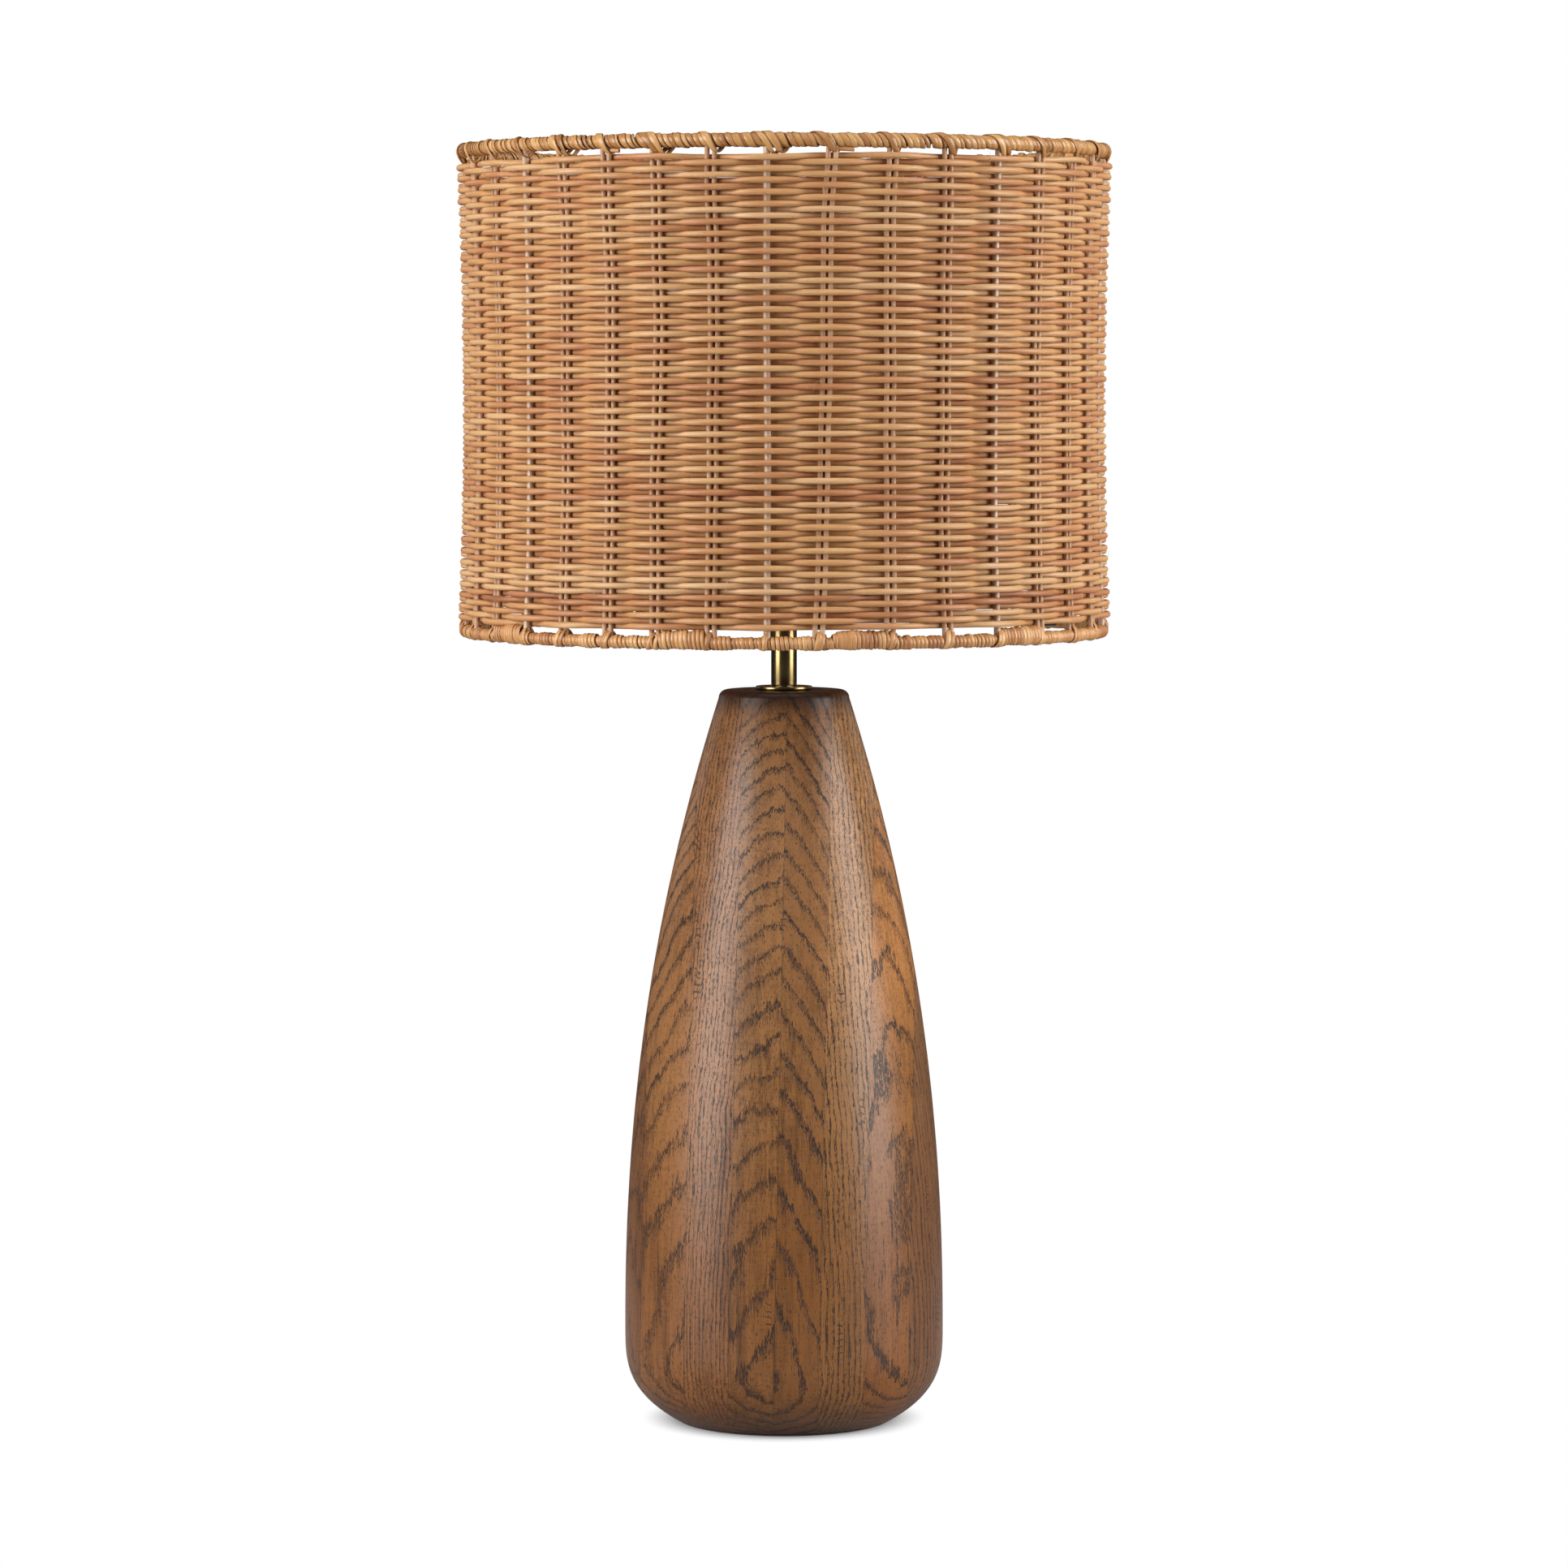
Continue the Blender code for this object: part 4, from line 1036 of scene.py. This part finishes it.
STRAW = (
    (0.00, (0.320, 0.118, 0.050)),
    (0.14, (0.400, 0.158, 0.066)),
    (0.30, (0.470, 0.198, 0.081)),
    (0.50, (0.540, 0.252, 0.106)),
    (0.70, (0.580, 0.300, 0.122)),
    (0.86, (0.625, 0.358, 0.155)),
    (1.00, (0.670, 0.405, 0.205)),
)
STAKE_TONES = (
    (0.0, (0.385, 0.200, 0.108)),
    (0.5, (0.525, 0.308, 0.180)),
    (1.0, (0.620, 0.400, 0.250)),
)
TOP_PEEL = (
    (0.0, (0.330, 0.130, 0.034)),
    (0.3, (0.470, 0.222, 0.068)),
    (0.6, (0.570, 0.295, 0.098)),
    (1.0, (0.680, 0.395, 0.155)),
)
LOWER_PEEL = (
    (0.0, (0.405, 0.162, 0.052)),
    (0.35, (0.560, 0.268, 0.094)),
    (0.7, (0.640, 0.335, 0.128)),
    (1.0, (0.720, 0.430, 0.186)),
)


class LAMP_OT_weave(bpy.types.Operator):
    """Weave the wall: one spiral of cane, in and out of the uprights, in many joined lengths"""

    bl_idname = "lamp.weave"
    bl_label = "Woven wall"

    def execute(self, context):
        weave = context.scene.lamp_weave
        uprights = Uprights(weave)
        crossings = weave_crossings(weave, uprights)
        draws = np.random.default_rng(weave.seed + 2)
        material = finish_called("woven_cane", woven_cane, STRAW, 0.40)
        ends = cane_ends(draws, len(crossings[0]) - 1)
        lengths = list(zip(ends, ends[1:]))
        for band, start in enumerate(range(0, len(lengths), 4)):
            shape = new_strands()
            for number, (first, last) in enumerate(lengths[start : start + 4], start):
                roll_cane(shape, weave, uprights, crossings, first, last, number, draws)
            name = f"weave_band_{band + 1:02d}"
            link_strands(name, shape, material, ["woven_wall"])
        return {"FINISHED"}


class LAMP_OT_uprights(bpy.types.Operator):
    """Bend the doubled cane stakes and the wire struts to the wall's curve"""

    bl_idname = "lamp.uprights"
    bl_label = "Stakes and struts"

    def execute(self, context):
        weave, metal = context.scene.lamp_weave, context.scene.lamp_metal
        uprights = Uprights(weave)
        cane = finish_called("stake_cane", woven_cane, STAKE_TONES, 0.14)
        wire = finish_called("copper_washed_wire", frame_wire, metal.strut_colour, 0.15, 0.52)
        height = np.linspace(uprights.bottom, uprights.top, 60)
        for index, name in enumerate(uprights.names):
            strut = bool(uprights.wire[index])
            radius = weave.strut_radius if strut else weave.stake_radius
            azimuth = uprights.azimuths[index] + uprights.sway(index, height)
            shape = new_strands()
            for side in (0.0,) if strut else (-0.5, 0.5):
                pull = side * weave.stake_spacing / uprights.ring
                centre = polar(azimuth + pull, uprights.radius(height), height)
                out = polar(azimuth, 1.0, 0.0)
                across = np.cross(UPWARDS, out)
                roll_strand(shape, centre, out, across, radius, radius, 12, index * 2 + (side > 0.0))
            made = ("wire_" if strut else "cane_") + name
            material = wire if strut else cane
            link_strands(made, shape, material, [name])
        for node in ("top_hoop", "bottom_hoop"):
            give_finish(node, wire)
        return {"FINISHED"}


class LAMP_OT_spider(bpy.types.Operator):
    """Bend the three arms and turn the hub that carry the shade"""

    bl_idname = "lamp.spider"
    bl_label = "Arms and hub"

    def execute(self, context):
        metal = context.scene.lamp_metal
        dark = finish_called("dark_lacquered_wire", frame_wire, metal.arm_colour, 0.5, 0.36)
        ring_piece("spider_hub", 0.0210, dark, metal, "shade")
        hub_radius, hub_low, hub_high = sizes("spider_hub")
        hub_z = (hub_low + hub_high) / 2
        _, hoop_low, hoop_high = sizes("bottom_hoop")
        hoop_z = (hoop_low + hoop_high) / 2
        start = hub_radius + SEAT_GAP
        for index in range(3):
            node = f"spider_arm_{index + 1}"
            azimuth, _ = stands_at(node)
            end = self.furthest(node)
            knots = [(start, hub_z), (start + 0.010, hub_z), (end - 0.016, hoop_z), (end, hoop_z)]
            route = np.array(eased(knots, 0.004, False))
            centre = polar(np.full(len(route), azimuth), route[:, 0], route[:, 1])
            across = np.tile(polar(np.array([azimuth + math.pi / 2]), 1.0, 0.0), (len(route), 1))
            along = unit(np.gradient(centre, axis=0))
            shape = new_strands()
            roll_strand(shape, centre, np.cross(along, across), across, 0.0020, 0.0020, 16, index)
            name = f"bent_arm_{index + 1}"
            link_strands(name, shape, dark, [node])
        return {"FINISHED"}

    def furthest(self, node):
        return max(math.hypot(vert.co.x, vert.co.y) for vert in frame["nodes"][node].data.vertices)


def roll_strip(shape, azimuth, tip, loop_out, loop_up, centre_radius, centre_z, width, thick, lean, number):
    """One stretch of peel wound round a rim.

    azimuth and tip are its place along the rim and the angle round the rim's section, and
    loop_out and loop_up the half sizes of the loop that it makes.
    """
    radius = centre_radius + loop_out * np.cos(tip)
    height = centre_z + loop_up * np.sin(tip)
    centre = polar(azimuth, radius, height)
    radial = polar(azimuth, 1.0, 0.0)
    normal = radial * (np.cos(tip) * loop_up)[:, None]
    normal[:, 2] = np.sin(tip) * loop_out
    normal = unit(normal)
    along = unit(np.gradient(centre, axis=0))
    across = unit(np.cross(normal, along))
    normal = np.cross(along, across)
    across, normal = across + normal * lean, normal - across * lean
    roll_strand(shape, centre, normal, across, thick / 2, width / 2, 8, number, 0.85, STRIP_GIRTH)


def wound_runs(draws, start, pitch, ring, longest):
    """Runs of whole turns along a rim: where each starts, and its turns."""
    azimuth, end, runs = start, start + math.tau, []
    while azimuth < end - 0.5 * pitch / ring:
        turns = int(draws.integers(2, longest + 1))
        turns = min(turns, max(1, round((end - azimuth) * ring / pitch)))
        runs.append((azimuth, turns))
        azimuth += turns * pitch / ring
    return runs


WINDING_STEPS = 14  # points in one turn of a strip


def winding(azimuth, turns, pitch, ring):
    """The points of a run: how many, their azimuths, and their angles round the rim's section."""
    count = turns * WINDING_STEPS + 4
    place = azimuth + np.arange(count) * pitch / WINDING_STEPS / ring
    return count, place, math.pi * 0.8 - np.arange(count) * math.tau / WINDING_STEPS


def tucked(count, ends):
    """Shares of a loop's size: 1 all along, and less at the ends, which slip under."""
    shares = np.ones(count)
    shares[: len(ends)] = ends
    shares[-len(ends) :] = ends[::-1]
    return shares


TOP_RING_OUT = 0.0022  # from the uprights out to the middle of each rim
LOWER_RING_OUT = 0.0020

# The straps of each rim. count is the points in one, and doubled the share of uprights with a
# second. start is the angle round the rim's section in half turns, and turns how far a strap
# goes round it. reach is its length to either side, second how far on the second one lies, and
# shift and spread where they sit. They stand off the strips, stacked, and hang over the upright
# with that fullness. broad is their width against a strip's, narrowing how much they narrow
# where they hang, and lean their twist.
TOP_STRAPS = {
    "count": 26, "doubled": 0.40, "start": 0.80, "turns": -1.10, "reach": (0.0085, 0.0125),
    "second": 0.0046, "shift": 0.0012, "spread": 0.0008, "stand_off": 0.0009, "stacked": 0.0002,
    "fullness": 1.3, "hang": (0.0022, 0.0036), "broad": 1.0, "narrowing": 0.30, "lean": (-0.05, 0.12),
}
LOWER_STRAPS = {
    "count": 22, "doubled": 0.50, "start": 1.25, "turns": 1.12, "reach": (0.0020, 0.0050),
    "second": 0.0024, "shift": 0.0, "spread": 0.0009, "stand_off": 0.0003, "stacked": 0.0,
    "fullness": 1.4, "hang": (0.0010, 0.0030), "broad": 1.1, "narrowing": 0.0, "lean": (-0.05, 0.10),
}


def strap_uprights(shape, draws, uprights, straps, height, ring, strip_width, numbers):
    """Strap each upright to a rim, some of them twice."""
    rim, count = bpy.context.scene.lamp_rim, straps["count"]
    turned_by = np.arange(count) * math.tau * straps["turns"] / (count - 1)
    tip = math.pi * straps["start"] + turned_by
    stretch = np.maximum(0.0, math.copysign(1.0, straps["turns"]) * np.sin(tip)) ** straps["fullness"]
    fade = tucked(count, (0.84,))
    for index in range(len(uprights.names)):
        upright = uprights.azimuths[index] + uprights.sway(index, height)
        for strap in range(1 + (draws.random() < straps["doubled"])):
            reach = draws.uniform(*straps["reach"])
            shift = strap * straps["second"] + draws.normal(0.0, straps["spread"]) + straps["shift"]
            place = upright + (np.linspace(-reach, reach, count) + shift) / ring
            loop_out = rim.rim_radius + straps["stand_off"] + straps["stacked"] * strap
            loop_up = loop_out + draws.uniform(*straps["hang"]) * stretch
            width = strip_width * draws.normal(straps["broad"], 0.10)
            width = width * (1.0 - straps["narrowing"] * stretch)
            roll_strip(
                shape, place, tip, loop_out * fade, loop_up * fade, ring, height,
                width, rim.strip_thickness, draws.uniform(*straps["lean"]), next(numbers),
            )


class LAMP_OT_top_rim(bpy.types.Operator):
    """Wrap the top hoop with slanting strips of peel and strap each upright to it"""

    bl_idname = "lamp.top_rim"
    bl_label = "Top rim"

    def execute(self, context):
        rim, weave = context.scene.lamp_rim, context.scene.lamp_weave
        uprights = Uprights(weave)
        draws, numbers = np.random.default_rng(weave.seed + 3), itertools.count()
        ring, strip_width = uprights.ring + TOP_RING_OUT, rim.strip_width
        material = finish_called("top_peel", wrapped_peel, TOP_PEEL)
        shape, side_by_side = new_strands(), 3
        pitch = side_by_side * strip_width * 0.90
        for start in range(side_by_side):
            for azimuth, turns in wound_runs(draws, start * pitch / side_by_side / ring, pitch, ring, 5):
                count, place, tip = winding(azimuth, turns, pitch, ring)
                place = place + wander(draws, count, 9, 0.0005) / ring
                loop = rim.rim_radius + draws.normal(0.0, 0.00020) + wander(draws, count, 12, 0.00012)
                loop = loop * tucked(count, (0.88, 0.92, 0.97))
                width = strip_width * (draws.normal(1.0, 0.16) + wander(draws, count, 14, 0.06))
                roll_strip(
                    shape, place, tip, loop, loop, ring, rim.top_height,
                    width, rim.strip_thickness, draws.uniform(0.06, 0.22), next(numbers),
                )
        link_strands("top_rim_strips", shape, material, ["top_rim_wrap"])

        shape = new_strands()
        strap_uprights(shape, draws, uprights, TOP_STRAPS, rim.top_height, ring, strip_width, numbers)
        link_strands("top_rim_straps", shape, material, ["top_rim_wrap"])
        return {"FINISHED"}


TALL_BAYS = (1, 4, 8, 11, 15, 18, 22, 26, 29, 33)  # where the binding takes in the lowest row
TALL_RISE = 0.0018


class LAMP_OT_bottom_rim(bpy.types.Operator):
    """Bind the bottom hoop closely, taking in the lowest row of cane here and there"""

    bl_idname = "lamp.bottom_rim"
    bl_label = "Bottom rim"

    def execute(self, context):
        rim, weave = context.scene.lamp_rim, context.scene.lamp_weave
        uprights = Uprights(weave)
        draws, numbers = np.random.default_rng(weave.seed + 4), itertools.count()
        ring, strip_width = uprights.ring + LOWER_RING_OUT, rim.lower_strip_width
        material = finish_called("lower_peel", wrapped_peel, LOWER_PEEL)
        bays = np.append(uprights.azimuths, uprights.azimuths[0] + math.tau)
        shape, pitch = new_strands(), strip_width * 0.86
        for azimuth, turns in wound_runs(draws, uprights.azimuths[0], pitch, ring, 6):
            count, place, tip = winding(azimuth, turns, pitch, ring)
            tall = np.zeros(count)
            for index in TALL_BAYS:
                inside = np.minimum(place - bays[index], bays[index + 1] - place) * ring
                tall = np.maximum(tall, np.clip((inside - 0.0015) / 0.0020, 0.0, 1.0))
            rise = TALL_RISE * tall
            swell = np.sin(np.linspace(0.05, math.pi - 0.05, count)) ** 0.7
            swell = draws.uniform(0.0003, 0.0013) * swell
            loop = rim.rim_radius - 0.0009 + swell + wander(draws, count, 10, 0.00012)
            fade = tucked(count, (0.86, 0.90, 0.95))
            width = strip_width * (draws.normal(1.0, 0.10) + wander(draws, count, 14, 0.06))
            roll_strip(
                shape, place, tip, loop * fade, (loop + rise) * fade, ring, rim.bottom_height + rise,
                width, rim.strip_thickness, draws.uniform(0.05, 0.22), next(numbers),
            )
        link_strands("bottom_rim_strips", shape, material, ["bottom_rim_wrap"])

        shape = new_strands()
        strap_uprights(shape, draws, uprights, LOWER_STRAPS, rim.bottom_height, ring, strip_width, numbers)
        link_strands("bottom_rim_straps", shape, material, ["bottom_rim_wrap"])
        return {"FINISHED"}


FIBRES = 90
FIBRE_LIFT = 0.0046  # from the middle of the wall out to the skin of its canes
CUT_ENDS_AT = (1, 6, 10, 17, 23, 28, 32)  # the uprights under the top rim that have one
CUT_END_RADIUS = 0.0013


class LAMP_OT_fibres(bpy.types.Operator):
    """Leave the loose hairs and cut ends that stand out of a handmade shade"""

    bl_idname = "lamp.fibres"
    bl_label = "Loose fibres"

    def execute(self, context):
        weave, rim = context.scene.lamp_weave, context.scene.lamp_rim
        uprights = Uprights(weave)
        draws = np.random.default_rng(weave.seed + 5)
        shape, points = new_strands(), 6
        share = np.linspace(0.0, 1.0, points)
        for number in range(FIBRES):
            height = draws.uniform(weave.first_row, weave.last_row)
            azimuth = draws.uniform(0.0, math.tau)
            length = draws.uniform(0.003, 0.009)
            turn = draws.uniform(0.0, math.tau)
            curl = draws.normal(0.0, 0.9)
            across = length * share * np.cos(turn + curl * share)
            rise = length * share * np.sin(turn + curl * share)
            lift = FIBRE_LIFT + draws.uniform(0.0001, 0.0016) * np.sin(share * math.pi * 0.8)
            centre = polar(azimuth + across / uprights.ring, uprights.radius(height) + lift, height + rise)
            out = polar(np.full(points, azimuth), 1.0, 0.0)
            up = unit(np.cross(out, unit(np.gradient(centre, axis=0))))
            thin = 0.00013 * (1.0 - 0.6 * share)
            roll_strand(shape, centre, out, up, thin, thin, 4, number)
        material = finish_called("woven_cane", woven_cane, STRAW, 0.40)
        link_strands("loose_fibres", shape, material)

        shape, points = new_strands(), 8
        share = np.linspace(0.0, 1.0, points)
        for number, index in enumerate(CUT_ENDS_AT):
            side = -1.0 if number % 2 else 1.0
            azimuth = side * share * draws.uniform(0.009, 0.014) / uprights.ring
            azimuth = uprights.azimuths[index] + azimuth
            height = rim.top_height - rim.rim_radius - 0.0012 - 0.0006 * share
            centre = polar(azimuth, uprights.radius(height) + 0.0012 * share, height)
            out = polar(azimuth, 1.0, 0.0)
            up = np.tile(UPWARDS, (points, 1))
            roll_strand(shape, centre, out, up, CUT_END_RADIUS, CUT_END_RADIUS, 8, number)
        link_strands("cut_ends", shape, material)
        return {"FINISHED"}


# The soft lights: where each stands, the height on the lamp's axis that it faces, its width
# and height, and its power in watts
LIGHTS = {
    "left_window": ((-2.1, -1.25, 0.9), 0.45, 1.4, 2.4, 90.0),
    "right_window": ((2.3, -0.70, 0.9), 0.45, 1.4, 2.4, 88.0),
    "front_fill": ((0.0, -3.2, 2.2), 0.45, 2.4, 1.6, 12.0),
    "back_left": ((-1.7, 1.8, 1.3), 0.5, 1.2, 1.8, 4.0),
    "back_right": ((1.7, 1.8, 1.3), 0.5, 1.2, 1.8, 4.0),
    "top_fill": ((0.0, -0.4, 2.6), 0.4, 2.0, 2.0, 14.0),
}


def area_light(name, place, aim_height, width, height, power):
    light = bpy.data.lights.new(name, "AREA")
    light.shape = "RECTANGLE"
    light.size, light.size_y, light.energy = width, height, power
    item = bpy.data.objects.new(name, light)
    bpy.context.scene.collection.objects.link(item)
    item.location = place
    aim = Vector((0.0, 0.0, aim_height)) - Vector(place)
    item.rotation_euler = aim.to_track_quat("-Z", "Y").to_euler()


def white_world():
    """A white background that lights the lamp softly and shows little in its gloss."""
    world = bpy.data.worlds.new("studio")
    world.use_nodes = True
    nodes, links = world.node_tree.nodes, world.node_tree.links
    path = nodes.new("ShaderNodeLightPath").outputs
    strength = None
    for ray, level in (("Is Glossy Ray", 0.05), ("Is Transmission Ray", 1.0), ("Is Camera Ray", 1.0)):
        change = nodes.new("ShaderNodeMix")
        links.new(path[ray], change.inputs["Factor"])
        change.inputs["B"].default_value = level
        if strength is None:
            change.inputs["A"].default_value = 0.10
        else:
            links.new(strength, change.inputs["A"])
        strength = change.outputs["Result"]
    links.new(strength, nodes["Background"].inputs["Strength"])
    nodes["Background"].inputs["Color"].default_value = (1.0, 1.0, 1.0, 1.0)
    return world


def seen_directly(finish):
    """1 for what the camera sees straight or through glass."""
    path = finish.node("LightPath").outputs
    return finish.math("MAXIMUM", path["Is Camera Ray"], path["Is Transmission Ray"])


def pale_floor():
    """A floor that keeps the lamp's shadow, fades to white and is clear from beneath."""
    finish = Finish("pale_floor", 0.85)
    x, y, _ = finish.parts(finish.place())
    away = finish.math("SQRT", finish.times_plus(x, x, finish.times(y, y)))
    grain = finish.object_noise((40.0, 40.0, 40.0))
    near = finish.mix(grain, (0.48, 0.48, 0.48), (0.54, 0.54, 0.54))
    finish.set("Base Color", finish.mix(finish.step(away, 0.3, 1.1), near, (0.12, 0.12, 0.12)))
    white = finish.node("Emission", (1.0, 1.0, 1.0, 1.0), 1.0).outputs[0]
    faded = finish.times(finish.step(away, 0.062, 0.090, 0.12, 1.0), seen_directly(finish))
    cover = finish.node("MixShader", faded, finish.shader.outputs[0], white).outputs[0]
    beneath = finish.node("NewGeometry").outputs["Backfacing"]
    clear = finish.node("BsdfTransparent").outputs[0]
    cover = finish.node("MixShader", beneath, cover, clear).outputs[0]
    finish.tree.links.new(cover, finish.tree.nodes["Material Output"].inputs["Surface"])
    return finish.material


class LAMP_OT_stage(bpy.types.Operator):
    """Set the camera, the soft lights and the pale floor"""

    bl_idname = "lamp.stage"
    bl_label = "Stage"

    def execute(self, context):
        stage, scene = context.scene.lamp_stage, context.scene
        camera = bpy.data.objects.new("camera", bpy.data.cameras.new("camera"))
        scene.collection.objects.link(camera)
        camera.location = stage.camera_place
        camera.rotation_euler = (math.pi / 2 - stage.camera_tilt, 0.0, 0.0)
        camera.data.lens = stage.camera_lens
        scene.camera = camera
        scene.view_settings.view_transform = "Standard"

        for name, light in LIGHTS.items():
            area_light(name, *light)
        scene.world = white_world()

        shape = bmesh.new()
        bmesh.ops.create_grid(shape, x_segments=8, y_segments=8, size=stage.floor_size / 2)
        mesh = mesh_of("floor", shape)
        mesh.materials.append(pale_floor())
        floor = bpy.data.objects.new("floor", mesh)
        scene.collection.objects.link(floor)
        return {"FINISHED"}


OPERATORS = (
    LAMP_OT_stage,
    LAMP_OT_timber,
    LAMP_OT_stem,
    LAMP_OT_lampholder,
    LAMP_OT_clamp_ring,
    LAMP_OT_bulb,
    LAMP_OT_spider,
    LAMP_OT_uprights,
    LAMP_OT_weave,
    LAMP_OT_top_rim,
    LAMP_OT_bottom_rim,
    LAMP_OT_fibres,
)


class LAMP_PT_panel(bpy.types.Panel):
    """Lists the lamp's pieces and their sizes"""

    bl_idname = "LAMP_PT_panel"
    bl_label = "Rattan Table Lamp"
    bl_space_type = "VIEW_3D"
    bl_region_type = "UI"
    bl_category = "Lamp"

    def draw(self, context):
        for operator in OPERATORS:
            self.layout.operator(operator.bl_idname)
        for name, group in SETTINGS.items():
            box = self.layout.box()
            box.label(text=group.__name__.replace("Settings", ""))
            for size in group.__annotations__:
                box.prop(getattr(context.scene, name), size)


CLASSES = (*SETTINGS.values(), *OPERATORS, LAMP_PT_panel)


def register():
    for item in CLASSES:
        bpy.utils.register_class(item)
    for name, group in SETTINGS.items():
        setattr(bpy.types.Scene, name, PointerProperty(type=group))


def unregister():
    for name in SETTINGS:
        delattr(bpy.types.Scene, name)
    for item in reversed(CLASSES):
        bpy.utils.unregister_class(item)


def main():
    for name in ("Cube", "Light", "Camera"):
        if name in bpy.data.objects:
            bpy.data.objects.remove(bpy.data.objects[name])
    register()
    for operator in OPERATORS:
        group, name = operator.bl_idname.split(".")
        getattr(getattr(bpy.ops, group), name)()


if __name__ == "__main__":
    main()
